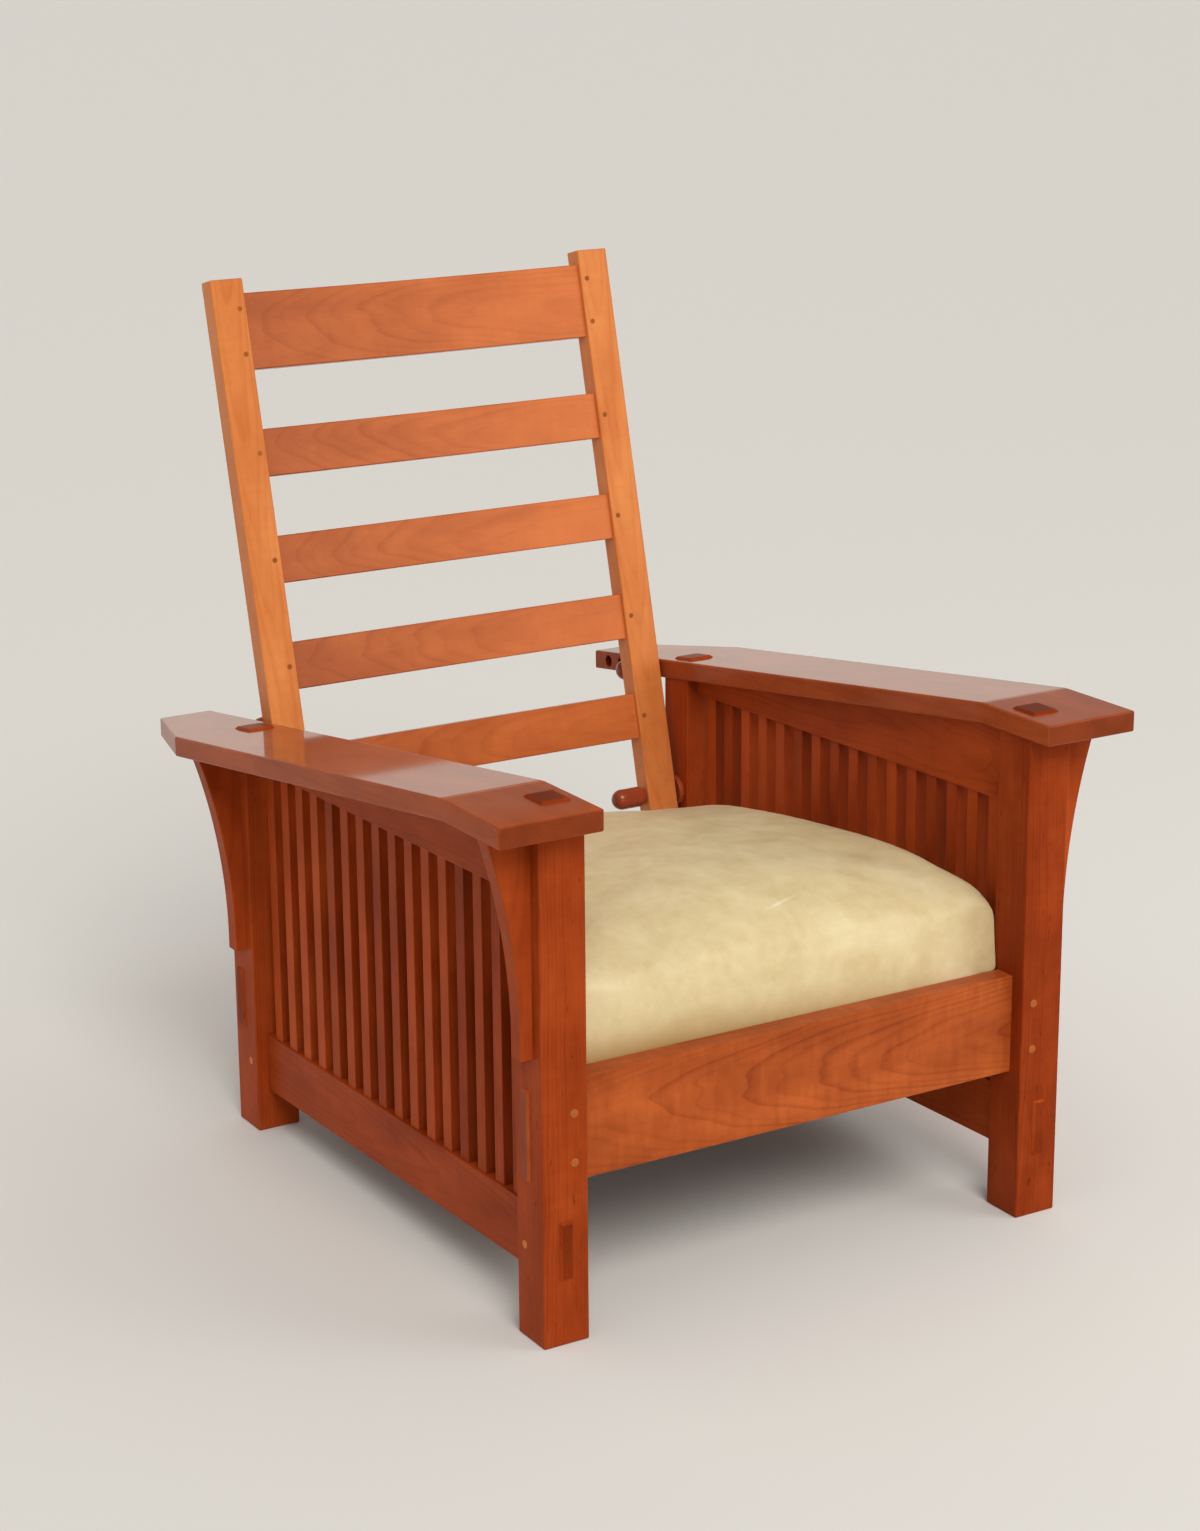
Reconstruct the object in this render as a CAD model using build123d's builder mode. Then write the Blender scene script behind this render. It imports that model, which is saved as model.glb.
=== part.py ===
"""Mission reclining armchair: spindle sides under sloping arms, a ladder back on pegs, a leather seat.

Lengths are in millimetres and angles in degrees.  The chair faces -Y, +Z is up, and left and
right are those of someone who stands in front of it and looks at it, so +X is to the right.
The origin is on the floor, midway across the arms and midway along their length.
"""
import os
from math import cos, radians, sin, sqrt, tan

from build123d import *

os.makedirs("parts", exist_ok=True)

LEFT, RIGHT = -1, 1
SIDES = {"left": LEFT, "right": RIGHT}

# Overall sizes
chair_width = 838.0
arm_length = 992.0
arm_height = 617.0
back_height = 1058.0

# Arms
arm_width = 126.0
arm_thickness = 25.0
arm_front_overhang = 35.0
arm_rear_overhang = 177.0
arm_side_overhang = 66.0
arm_level_length = 123.0
arm_slope = 8.0
arm_bend_radius = 60.0
arm_clip_length = 175.0
arm_clip_width = 55.5
arm_ease = 2.5

# Legs and the tenons on their tops
leg_size = 57.0
leg_ease = 2.0
foot_chamfer = 1.6
leg_tenon_width = 36.0
leg_tenon_depth = 38.0
tenon_proud = 3.0
tenon_chamfer = 2.5

# Side panels: two rails that lean back together and the spindles between them
side_rail_slope = 1.6
side_rail_thickness = 26.0
lower_rail_height = 76.0
lower_rail_lift = 63.0
upper_rail_rear_height = 20.8
side_tenon_thickness = 17.0
side_tenon_shoulder = 4.0
upper_tongue_thickness = 12.0
upper_tongue_depth = 20.0
upper_tongue_shoulder = 6.0
rail_ease = 1.5
spindle_count = 16
spindle_width = 19.5
spindle_thickness = 20.0
spindle_ease = 1.0
stub_width = 13.0
stub_thickness = 13.0
stub_length = 10.0

# Front and rear rails
front_rail_height = 120.0
front_rail_thickness = 28.0
front_rail_lift = 181.0
front_rail_recess = 20.0
rear_rail_height = 92.0
rear_rail_thickness = 26.0
rear_rail_lift = 126.0
rear_rail_recess = 7.0
cross_tenon_thickness = 17.0
cross_tenon_shoulder = 7.0

# Wooden pins through the frame's tenons
frame_pin_radius = 4.75
frame_pin_setback = 16.5
frame_pin_spacing = 57.0
pin_proud = 0.5

# Corbels under the arms, each with two screws below wooden plugs
corbel_thickness = 22.0
corbel_height = 258.0
corbel_reach = 54.0
corbel_foot = 14.0
corbel_straight = 15.0
corbel_ease = 1.0
corbel_screw_drops = (25.0, 118.0)
corbel_plug_radius = 4.75
corbel_plug_length = 7.0
screw_head_radius = 4.0
screw_head_length = 3.5
screw_shank_radius = 2.2
corbel_screw_bite = 24.0

# Back frame: two posts and five bowed slats, hung on the hinge pegs
back_side_gap = 8.0
back_tilt = 13.8
post_width = 44.3
post_depth = 28.3
post_tail = 38.0
post_ease = 2.0
slat_count = 5
slat_height = 60.0
top_slat_height = 96.0
slat_margin = 18.3
lowest_slat_lift = 78.0
slat_thickness = 19.0
slat_recess = 5.5
slat_bow = 11.0
slat_ease = 1.5
slat_tenon_depth = 26.0
slat_tenon_thickness = 10.0
slat_tenon_shoulder = 6.0
back_pin_radius = 3.3
back_pin_setback = 9.3
top_slat_pin_spacing = 57.0

# Pegs: two carry the back's hinge and two hold it up, in a row of holes in each arm
hinge_height = 343.4
peg_shank_radius = 8.0
peg_clearance = 0.1
peg_head_radius = 13.75
peg_neck_radius = 9.5
peg_neck_length = 11.0
peg_head_length = 48.0
peg_bite_in_leg = 30.0
peg_bite_in_arm = 40.0
peg_tip_chamfer = 1.5
hole_end_room = 2.0
back_rest_gap = 0.3
peg_hole_count = 4
peg_hole_spacing = 34.0
washer_radius = 22.0
washer_bore_clearance = 0.3
washer_side_gap = 0.3
washer_ease = 2.0

# Drop-in seat: a sloping frame on two cleats, webbing and a leather cushion
seat_slope = 6.2
seat_front_height = 293.0
seat_rail_gap = 1.0
seat_rear_gap = 9.9
seat_side_gap = 5.0
seat_frame_width = 60.0
seat_frame_thickness = 20.0
seat_dowel_radius = 4.0
seat_dowel_length = 50.0
seat_dowel_spacing = 30.0
cleat_width = 24.0
cleat_height = 26.0
cleat_end_gap = 1.0
cleat_screw_count = 4
cleat_screw_margin = 70.0
cleat_screw_length = 40.0
seat_screw_count = 2
seat_screw_length = 40.0
web_width = 50.0
web_thickness = 1.5
web_lap = 35.0
cross_web_count = 7
long_web_count = 6
dust_cover_thickness = 1.0
dust_cover_margin = 14.0

# Cushion: flat below, with full shoulders, a crowned top and sides that draw in
cushion_clearance = 0.3
cushion_side_gap = 5.0
cushion_front_lap = 2.0
cushion_rear_room = 18.0
cushion_end_height = 94.0
cushion_crown = 70.0
cushion_top_rise = 17.0
cushion_shoulder = 55.0
cushion_draw_in = 4.0
cushion_end_ease = 12.0
cushion_station_shares = (0.0, 0.06, 0.18, 0.4, 0.65, 0.88, 1.0)
cushion_crown_shares = (0.0, 0.52, 0.9, 1.0, 0.95, 0.55, 0.0)
cushion_shoulder_shares = (0.4, 0.75, 1.0, 1.0, 1.0, 0.8, 0.4)
cushion_draw_in_shares = (0.0, 0.25, 0.6, 1.0, 0.9, 0.3, 0.0)

# One overrun serves every cut that has to pass right through
overrun = 5.0

# Places that follow from the sizes above
frame_width = chair_width - 2 * arm_side_overhang
frame_depth = arm_length - arm_front_overhang - arm_rear_overhang
leg_x = (frame_width - leg_size) / 2
leg_outer_x = frame_width / 2
leg_inner_x = leg_outer_x - leg_size
arm_outer_x = chair_width / 2
arm_inner_x = arm_outer_x - arm_width
arm_front_y = -arm_length / 2
arm_rear_y = arm_length / 2
bend_y = arm_front_y + arm_level_length
lower_bend_y = bend_y - arm_thickness * tan(radians(arm_slope / 2))
frame_front_y = arm_front_y + arm_front_overhang
frame_rear_y = frame_front_y + frame_depth
front_leg_y = frame_front_y + leg_size / 2
rear_leg_y = frame_rear_y - leg_size / 2
panel_front_y = frame_front_y + leg_size
panel_rear_y = frame_rear_y - leg_size
panel_middle_y = (panel_front_y + panel_rear_y) / 2
front_rail_y = frame_front_y + front_rail_recess + front_rail_thickness / 2
rear_rail_y = frame_rear_y - rear_rail_recess - rear_rail_thickness / 2

back_width = 2 * (leg_inner_x - back_side_gap)
post_x = (back_width - post_width) / 2
post_inner_x = back_width / 2 - post_width
hinge_y = rear_leg_y


def arm_top(y):
    """Height of an arm's top surface at y."""
    return arm_height - max(0.0, y - bend_y) * tan(radians(arm_slope))


def arm_underside(y):
    """Height of an arm's lower surface at y."""
    return arm_height - arm_thickness - max(0.0, y - lower_bend_y) * tan(radians(arm_slope))


def lean(y):
    """How much lower the side rails are at y than midway along the panel."""
    return (y - panel_middle_y) * tan(radians(side_rail_slope))


upper_rail_lift = arm_underside(panel_rear_y) - upper_rail_rear_height + lean(panel_rear_y)


def lower_rail_bottom(y):
    return lower_rail_lift - lean(y)


def lower_rail_top(y):
    return lower_rail_lift + lower_rail_height - lean(y)


def upper_rail_bottom(y):
    return upper_rail_lift - lean(y)


def side_plane(x):
    """A plane across the chair at x: its own x runs to the rear and its own y runs up."""
    return Plane(origin=(x, 0, 0), x_dir=(0, 1, 0), z_dir=(1, 0, 0))


def front_plane(y):
    """An upright plane at y: its own x runs to the right, its own y up and its normal to the front."""
    return Plane(origin=(0, y, 0), x_dir=(1, 0, 0), z_dir=(0, -1, 0))


def outward_plane(side, x, y, z):
    """A plane at a point that looks out to one side of the chair."""
    return Plane(origin=(side * x, y, z), x_dir=(0, 1, 0), z_dir=(side, 0, 0))


def save(part, name):
    """Label a finished piece and write its file."""
    part.label = name
    export_step(part, f"parts/{name}.step")


def long_edges(part):
    """The longest straight edges of a plain bar."""
    return part.edges().filter_by(GeomType.LINE).group_by(SortBy.LENGTH)[-1]


# Frame pins: two through each cross-rail tenon, from the front or the rear of its leg, and one
# through each end of each lower side rail, from the leg's outer face
side_pin_ys = (panel_front_y - frame_pin_setback, panel_rear_y + frame_pin_setback)
cross_pins = (
    (frame_front_y, front_rail_lift + front_rail_height / 2, -1),
    (frame_rear_y, rear_rail_lift + rear_rail_height / 2, 1),
)
with BuildPart() as frame_pins:
    for side in SIDES.values():
        for y in side_pin_ys:
            z = (lower_rail_bottom(y) + lower_rail_top(y)) / 2
            with BuildSketch(outward_plane(side, leg_outer_x + pin_proud, y, z)):
                Circle(frame_pin_radius)
            extrude(amount=-(leg_size - frame_pin_setback / 2))
        for face_y, z, facing in cross_pins:
            pin_plane = Plane(
                origin=(side * (leg_inner_x + frame_pin_setback), face_y + facing * pin_proud, z),
                x_dir=(1, 0, 0),
                z_dir=(0, facing, 0),
            )
            with BuildSketch(pin_plane):
                with GridLocations(0, frame_pin_spacing, 1, 2):
                    Circle(frame_pin_radius)
            extrude(amount=-(leg_size - frame_pin_setback / 2))
    chamfer(
        frame_pins.edges()
        .filter_by(GeomType.CIRCLE)
        .filter_by(lambda edge: max(
            abs(edge.center().X) - leg_outer_x,
            frame_front_y - edge.center().Y,
            edge.center().Y - frame_rear_y,
        ) > 0),
        pin_proud / 2,
    )
save(frame_pins.part, "frame_pins")


# Spindles: upright bars with a stub tenon at each end
spindle_gap = (panel_rear_y - panel_front_y - spindle_count * spindle_width) / (spindle_count + 1)
spindle_pitch = spindle_width + spindle_gap
spindle_ys = [
    panel_front_y + spindle_gap + spindle_width / 2 + number * spindle_pitch
    for number in range(spindle_count)
]
spindles = {}
for side_name, side in SIDES.items():
    with BuildPart() as spindle_set:
        for y in spindle_ys:
            y_front = y - spindle_width / 2
            y_rear = y + spindle_width / 2
            with BuildSketch(side_plane(side * leg_x)):
                with BuildLine():
                    Polyline(
                        (y_front, lower_rail_top(y_front)),
                        (y_rear, lower_rail_top(y_rear)),
                        (y_rear, upper_rail_bottom(y_rear)),
                        (y_front, upper_rail_bottom(y_front)),
                        close=True,
                    )
                make_face()
            extrude(amount=spindle_thickness / 2, both=True)
        fillet(spindle_set.edges().filter_by(Axis.Z), spindle_ease)
        for y in spindle_ys:
            stub_bottom = lower_rail_top(y) - stub_length
            stub_top = upper_rail_bottom(y) + stub_length
            with BuildSketch(Plane.XY.offset(stub_bottom)):
                with Locations((side * leg_x, y)):
                    Rectangle(stub_thickness, stub_width)
            extrude(amount=stub_top - stub_bottom)
    save(spindle_set.part, f"side_spindles_{side_name}")
    spindles[side_name] = spindle_set.part


# Lower side rails: their tenons pass through both legs
lower_rails = {}
tenon_front_y = frame_front_y - tenon_proud
tenon_rear_y = frame_rear_y + tenon_proud
for side_name, side in SIDES.items():
    with BuildPart() as lower_rail:
        with BuildSketch(side_plane(side * leg_x)):
            with BuildLine():
                Polyline(
                    (panel_front_y, lower_rail_bottom(panel_front_y)),
                    (panel_rear_y, lower_rail_bottom(panel_rear_y)),
                    (panel_rear_y, lower_rail_top(panel_rear_y)),
                    (panel_front_y, lower_rail_top(panel_front_y)),
                    close=True,
                )
            make_face()
        extrude(amount=side_rail_thickness / 2, both=True)
        fillet(long_edges(lower_rail), rail_ease)
        with BuildSketch(side_plane(side * leg_x)):
            with BuildLine():
                Polyline(
                    (tenon_front_y, lower_rail_bottom(tenon_front_y) + side_tenon_shoulder),
                    (tenon_rear_y, lower_rail_bottom(tenon_rear_y) + side_tenon_shoulder),
                    (tenon_rear_y, lower_rail_top(tenon_rear_y) - side_tenon_shoulder),
                    (tenon_front_y, lower_rail_top(tenon_front_y) - side_tenon_shoulder),
                    close=True,
                )
            make_face()
        extrude(amount=side_tenon_thickness / 2, both=True)
        tenon_ends = lower_rail.faces().sort_by(Axis.Y)
        chamfer(tenon_ends[0].edges() + tenon_ends[-1].edges(), tenon_chamfer)
        add(spindles[side_name], mode=Mode.SUBTRACT)
        add(frame_pins.part, mode=Mode.SUBTRACT)
    save(lower_rail.part, f"lower_side_rail_{side_name}")
    lower_rails[side_name] = lower_rail.part


# Upper side rails: the top edge follows the arm, and a tongue enters each leg
upper_rails = {}


def upper_rail_face(front_y, rear_y, inset):
    """Outline of the upper rail between two places, drawn in from its long edges by an inset."""
    with BuildLine() as outline:
        Polyline(
            (front_y, upper_rail_bottom(front_y) + inset),
            (rear_y, upper_rail_bottom(rear_y) + inset),
            (rear_y, arm_underside(rear_y) - inset),
            (lower_bend_y, arm_underside(lower_bend_y) - inset),
            (front_y, arm_underside(front_y) - inset),
            close=True,
        )
    return outline.line


for side_name, side in SIDES.items():
    with BuildPart() as upper_rail:
        with BuildSketch(side_plane(side * leg_x)):
            add(upper_rail_face(panel_front_y, panel_rear_y, 0))
            make_face()
        extrude(amount=side_rail_thickness / 2, both=True)
        fillet(long_edges(upper_rail), rail_ease)
        with BuildSketch(side_plane(side * leg_x)):
            add(upper_rail_face(
                panel_front_y - upper_tongue_depth,
                panel_rear_y + upper_tongue_depth,
                upper_tongue_shoulder,
            ))
            make_face()
        extrude(amount=upper_tongue_thickness / 2, both=True)
        add(spindles[side_name], mode=Mode.SUBTRACT)
    save(upper_rail.part, f"upper_side_rail_{side_name}")
    upper_rails[side_name] = upper_rail.part


# The seat lies in a plane that slopes back from just behind the front rail
seat_front_y = (
    front_rail_y + front_rail_thickness / 2 + seat_rail_gap
    + seat_frame_thickness * sin(radians(seat_slope))
)
seat_plane = Plane(
    origin=(0, seat_front_y, seat_front_height),
    x_dir=(1, 0, 0),
    z_dir=(0, sin(radians(seat_slope)), cos(radians(seat_slope))),
)
seat_rear_y = rear_rail_y - rear_rail_thickness / 2 - seat_rear_gap
seat_length = (seat_rear_y - seat_front_y) / cos(radians(seat_slope))
seat_half_width = leg_inner_x - seat_side_gap
frame_plane = seat_plane.offset(-seat_frame_thickness)
side_member_length = seat_length - 2 * seat_frame_width
seat_screw_x = seat_half_width - seat_frame_width / 2


# Cleats are strips on the inner faces of the cross rails.  Screws hold them there, and more
# screws go up through them into the seat frame
front_cleat_y = front_rail_y + front_rail_thickness / 2
rear_cleat_y = rear_rail_y - rear_rail_thickness / 2


def frame_underside(y):
    """Height of the seat frame's lower face at y."""
    underside = seat_front_height - seat_frame_thickness / cos(radians(seat_slope))
    return underside - (y - seat_front_y) * tan(radians(seat_slope))


cleats = {
    "front_cleat": (front_cleat_y, front_cleat_y + cleat_width, front_cleat_y, 1),
    "rear_cleat": (rear_cleat_y - cleat_width, rear_cleat_y, rear_cleat_y, -1),
}
with BuildPart() as cleat_screws:
    for cleat_start, cleat_end, rail_face_y, facing in cleats.values():
        screw_z = frame_underside(cleat_end) - cleat_height / 2
        screw_plane = Plane(
            origin=(0, rail_face_y + facing * cleat_width, screw_z),
            x_dir=(1, 0, 0),
            z_dir=(0, -facing, 0),
        )
        spread = 2 * (leg_inner_x - cleat_screw_margin)
        with BuildSketch(screw_plane):
            with GridLocations(spread / (cleat_screw_count - 1), 0, cleat_screw_count, 1):
                Circle(screw_head_radius)
        extrude(amount=screw_head_length)
        with BuildSketch(screw_plane):
            with GridLocations(spread / (cleat_screw_count - 1), 0, cleat_screw_count, 1):
                Circle(screw_shank_radius)
        extrude(amount=cleat_screw_length)
save(cleat_screws.part, "cleat_screws")

with BuildPart() as seat_screws:
    for cleat_start, cleat_end, rail_face_y, facing in cleats.values():
        screw_y = (cleat_start + cleat_end) / 2
        screw_top = frame_underside(screw_y) + seat_screw_length - cleat_height
        screw_base = Plane(
            origin=(0, screw_y, screw_top - seat_screw_length * cos(radians(seat_slope))),
            x_dir=(1, 0, 0),
            z_dir=seat_plane.z_dir,
        )
        with BuildSketch(screw_base):
            with GridLocations(2 * seat_screw_x, 0, seat_screw_count, 1):
                Circle(screw_head_radius)
        extrude(amount=screw_head_length)
        with BuildSketch(screw_base):
            with GridLocations(2 * seat_screw_x, 0, seat_screw_count, 1):
                Circle(screw_shank_radius)
        extrude(amount=seat_screw_length)
save(seat_screws.part, "seat_screws")


# Cross rails: the front rail is the taller and stands higher, so the seat slopes back
cross_rails = {
    "front_rail": (front_rail_y, front_rail_lift, front_rail_height, front_rail_thickness),
    "rear_rail": (rear_rail_y, rear_rail_lift, rear_rail_height, rear_rail_thickness),
}
cross_rail_parts = {}
for rail_name, (rail_y, rail_lift, rail_height, rail_thickness) in cross_rails.items():
    with BuildPart() as cross_rail:
        with BuildSketch(Plane.XY.offset(rail_lift)):
            with Locations((0, rail_y)):
                Rectangle(2 * leg_inner_x, rail_thickness)
        extrude(amount=rail_height)
        fillet(long_edges(cross_rail), rail_ease)
        with BuildSketch(Plane.XY.offset(rail_lift + cross_tenon_shoulder)):
            with Locations((0, rail_y)):
                Rectangle(2 * (leg_outer_x + tenon_proud), cross_tenon_thickness)
        extrude(amount=rail_height - 2 * cross_tenon_shoulder)
        tenon_ends = cross_rail.faces().sort_by(Axis.X)
        chamfer(tenon_ends[0].edges() + tenon_ends[-1].edges(), tenon_chamfer)
        add(frame_pins.part, mode=Mode.SUBTRACT)
        add(cleat_screws.part, mode=Mode.SUBTRACT)
    save(cross_rail.part, rail_name)
    cross_rail_parts[rail_name] = cross_rail.part


# Corbels: a straight foot, then an arc that swells out to the arm
corbel_arc_rise = corbel_height - corbel_straight
corbel_arc_run = corbel_reach - corbel_foot
corbel_radius = (corbel_arc_rise ** 2 + corbel_arc_run ** 2) / (2 * corbel_arc_run)


def corbel_depth(drop):
    """How far a corbel stands out from its leg at a drop below its top."""
    rise = corbel_arc_rise - drop
    return corbel_foot + corbel_radius - sqrt(corbel_radius ** 2 - rise ** 2)


leg_ys = {"front": front_leg_y, "rear": rear_leg_y}
corbel_screws = {}
with BuildPart() as corbel_screw_set:
    for side in SIDES.values():
        for leg_y in leg_ys.values():
            for drop in corbel_screw_drops:
                head_x = leg_outer_x + corbel_depth(drop) - corbel_plug_length
                screw_z = arm_underside(leg_y) - drop
                with BuildSketch(outward_plane(side, head_x, leg_y, screw_z)):
                    Circle(screw_head_radius)
                extrude(amount=-screw_head_length)
                with BuildSketch(outward_plane(side, head_x, leg_y, screw_z)):
                    Circle(screw_shank_radius)
                extrude(amount=-(head_x - leg_outer_x + corbel_screw_bite))
save(corbel_screw_set.part, "corbel_screws")


# Legs: each stands to the arm and sends a tenon up through it
legs = {}
hinge_bore_radius = peg_shank_radius + peg_clearance
for leg_name, leg_y in leg_ys.items():
    for side_name, side in SIDES.items():
        y_front = leg_y - leg_size / 2
        y_rear = leg_y + leg_size / 2
        with BuildPart() as leg:
            with BuildSketch(side_plane(side * leg_x)):
                with BuildLine():
                    Polyline(
                        (y_front, 0),
                        (y_rear, 0),
                        (y_rear, arm_underside(y_rear)),
                        (y_front, arm_underside(y_front)),
                        close=True,
                    )
                make_face()
            extrude(amount=leg_size / 2, both=True)
            fillet(leg.edges().filter_by(Axis.Z), leg_ease)
            chamfer(leg.faces().sort_by(Axis.Z)[0].edges(), foot_chamfer)
            tenon_y_front = leg_y - leg_tenon_depth / 2
            tenon_y_rear = leg_y + leg_tenon_depth / 2
            with BuildSketch(side_plane(side * leg_x)):
                with BuildLine():
                    Polyline(
                        (tenon_y_front, arm_underside(tenon_y_rear) - overrun),
                        (tenon_y_rear, arm_underside(tenon_y_rear) - overrun),
                        (tenon_y_rear, arm_top(tenon_y_rear) + tenon_proud),
                        (tenon_y_front, arm_top(tenon_y_front) + tenon_proud),
                        close=True,
                    )
                make_face()
            extrude(amount=leg_tenon_width / 2, both=True)
            chamfer(leg.faces().sort_by(Axis.Z)[-1].edges(), tenon_chamfer)
            add(lower_rails[side_name], mode=Mode.SUBTRACT)
            add(upper_rails[side_name], mode=Mode.SUBTRACT)
            add(cross_rail_parts[f"{leg_name}_rail"], mode=Mode.SUBTRACT)
            add(frame_pins.part, mode=Mode.SUBTRACT)
            add(corbel_screw_set.part, mode=Mode.SUBTRACT)
            if leg_name == "rear":
                with BuildSketch(outward_plane(side, leg_inner_x, hinge_y, hinge_height)):
                    Circle(hinge_bore_radius)
                extrude(amount=peg_bite_in_leg + hole_end_room, mode=Mode.SUBTRACT)
        save(leg.part, f"{leg_name}_leg_{side_name}")
        legs[leg_name, side_name] = leg.part


# Plane of the back at the hinge: its normal runs up the posts and its own y runs to their rear
back_plane = Plane(
    origin=(0, hinge_y, hinge_height),
    x_dir=(1, 0, 0),
    z_dir=(0, sin(radians(back_tilt)), cos(radians(back_tilt))),
)

# Row of peg holes in each arm.  The first is where the peg just meets the back of a post
post_rearward = back_plane.y_dir
peg_stand_off = post_depth / 2 + back_rest_gap + peg_head_radius
slope_drop = tan(radians(arm_slope))
mid_arm_drop = arm_thickness / 2 / cos(radians(arm_slope))
mid_arm_at_hinge = arm_height - mid_arm_drop - (hinge_y - bend_y) * slope_drop - hinge_height
first_hole_run = (peg_stand_off - mid_arm_at_hinge * post_rearward.Z) / (
    post_rearward.Y - slope_drop * post_rearward.Z
)
first_hole_y = hinge_y + first_hole_run


def arm_middle(y):
    """Height of the middle of an arm's edge at y, on its sloping part."""
    return arm_top(y) - mid_arm_drop


peg_hole_ys = [
    first_hole_y + number * peg_hole_spacing * cos(radians(arm_slope))
    for number in range(peg_hole_count)
]


# Arms: level over the front legs, then sloping, with the outer rear corner clipped
arms = {}
for side_name, side in SIDES.items():
    with BuildPart() as arm:
        with BuildSketch(side_plane(side * (arm_outer_x - arm_width / 2))):
            with BuildLine():
                Polyline(
                    (arm_front_y, arm_height),
                    (bend_y, arm_height),
                    (arm_rear_y, arm_top(arm_rear_y)),
                    (arm_rear_y, arm_underside(arm_rear_y)),
                    (lower_bend_y, arm_height - arm_thickness),
                    (arm_front_y, arm_height - arm_thickness),
                    close=True,
                )
            make_face()
        extrude(amount=arm_width / 2, both=True)
        bends = arm.edges().filter_by(Axis.X).filter_by_position(
            Axis.Y, bend_y - arm_thickness, bend_y + arm_thickness
        )
        fillet(bends.sort_by(Axis.Z)[-1], arm_bend_radius + arm_thickness)
        fillet(arm.edges().filter_by(Axis.X).filter_by_position(
            Axis.Y, lower_bend_y - arm_thickness, lower_bend_y + arm_thickness
        ).sort_by(Axis.Z)[0], arm_bend_radius)
        with BuildSketch(Plane.XY):
            with BuildLine():
                Polyline(
                    (side * (arm_outer_x + overrun), arm_rear_y - arm_clip_length),
                    (side * arm_outer_x, arm_rear_y - arm_clip_length),
                    (side * (arm_outer_x - arm_clip_width), arm_rear_y),
                    (side * (arm_outer_x - arm_clip_width), arm_rear_y + overrun),
                    (side * (arm_outer_x + overrun), arm_rear_y + overrun),
                    close=True,
                )
            make_face()
        extrude(amount=arm_height + overrun, mode=Mode.SUBTRACT)
        fillet(arm.edges(), arm_ease)
        for leg_name in leg_ys:
            add(legs[leg_name, side_name], mode=Mode.SUBTRACT)
        add(upper_rails[side_name], mode=Mode.SUBTRACT)
        for hole_y in peg_hole_ys:
            hole_plane = outward_plane(side, arm_inner_x, hole_y, arm_middle(hole_y))
            with BuildSketch(hole_plane):
                Circle(peg_shank_radius + peg_clearance)
            extrude(amount=peg_bite_in_arm + hole_end_room, mode=Mode.SUBTRACT)
    save(arm.part, f"arm_{side_name}")
    arms[side_name] = arm.part


# Corbels and their plugs, cut to the underside of the arm
def corbel_blank(side, leg_y):
    """A corbel before its holes are bored.  It is drawn up into the arm, which then cuts it off."""
    rise_into_arm = arm_thickness / 2
    top_z = arm_underside(leg_y) + rise_into_arm
    foot_z = arm_underside(leg_y) - corbel_height
    arc_z = foot_z + corbel_straight
    with BuildPart() as blank:
        with BuildSketch(front_plane(leg_y)):
            with BuildLine():
                inner_line = Line(
                    (side * leg_outer_x, top_z),
                    (side * leg_outer_x, foot_z),
                )
                foot_line = Line(inner_line @ 1, (side * (leg_outer_x + corbel_foot), foot_z))
                rising_line = Line(foot_line @ 1, (side * (leg_outer_x + corbel_foot), arc_z))
                sweep_arc = TangentArc(
                    rising_line @ 1,
                    (side * (leg_outer_x + corbel_depth(-rise_into_arm)), top_z),
                    tangent=(0, 1),
                )
                Line(sweep_arc @ 1, inner_line @ 0)
            make_face()
        extrude(amount=corbel_thickness / 2, both=True)
        sweep_edges = blank.edges().filter_by(GeomType.CIRCLE) + blank.edges().filter_by(Axis.Z)
        chamfer(
            sweep_edges.filter_by(lambda edge: abs(edge.center().X) > leg_outer_x + corbel_foot / 2),
            corbel_ease,
        )
        add(arms["left" if side == LEFT else "right"], mode=Mode.SUBTRACT)
    return blank.part


corbel_blanks = {
    (leg_name, side_name): corbel_blank(side, leg_y)
    for leg_name, leg_y in leg_ys.items()
    for side_name, side in SIDES.items()
}


def plug_bores(side, leg_y):
    """The two holes of one corbel that its plugs fill, run out past its curved edge."""
    with BuildPart() as bores:
        for drop in corbel_screw_drops:
            floor_x = leg_outer_x + corbel_depth(drop) - corbel_plug_length
            with BuildSketch(outward_plane(side, floor_x, leg_y, arm_underside(leg_y) - drop)):
                Circle(corbel_plug_radius)
            extrude(amount=corbel_reach)
    return bores.part


corbel_bores = {
    (leg_name, side_name): plug_bores(side, leg_y)
    for leg_name, leg_y in leg_ys.items()
    for side_name, side in SIDES.items()
}
with BuildPart() as corbel_plugs:
    for corbel_key, blank in corbel_blanks.items():
        add(blank & corbel_bores[corbel_key])
save(corbel_plugs.part, "corbel_plugs")

for (leg_name, side_name), blank in corbel_blanks.items():
    with BuildPart() as corbel:
        add(blank)
        add(corbel_bores[leg_name, side_name], mode=Mode.SUBTRACT)
        add(corbel_screw_set.part, mode=Mode.SUBTRACT)
    save(corbel.part, f"{leg_name}_corbel_{side_name}")


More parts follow.
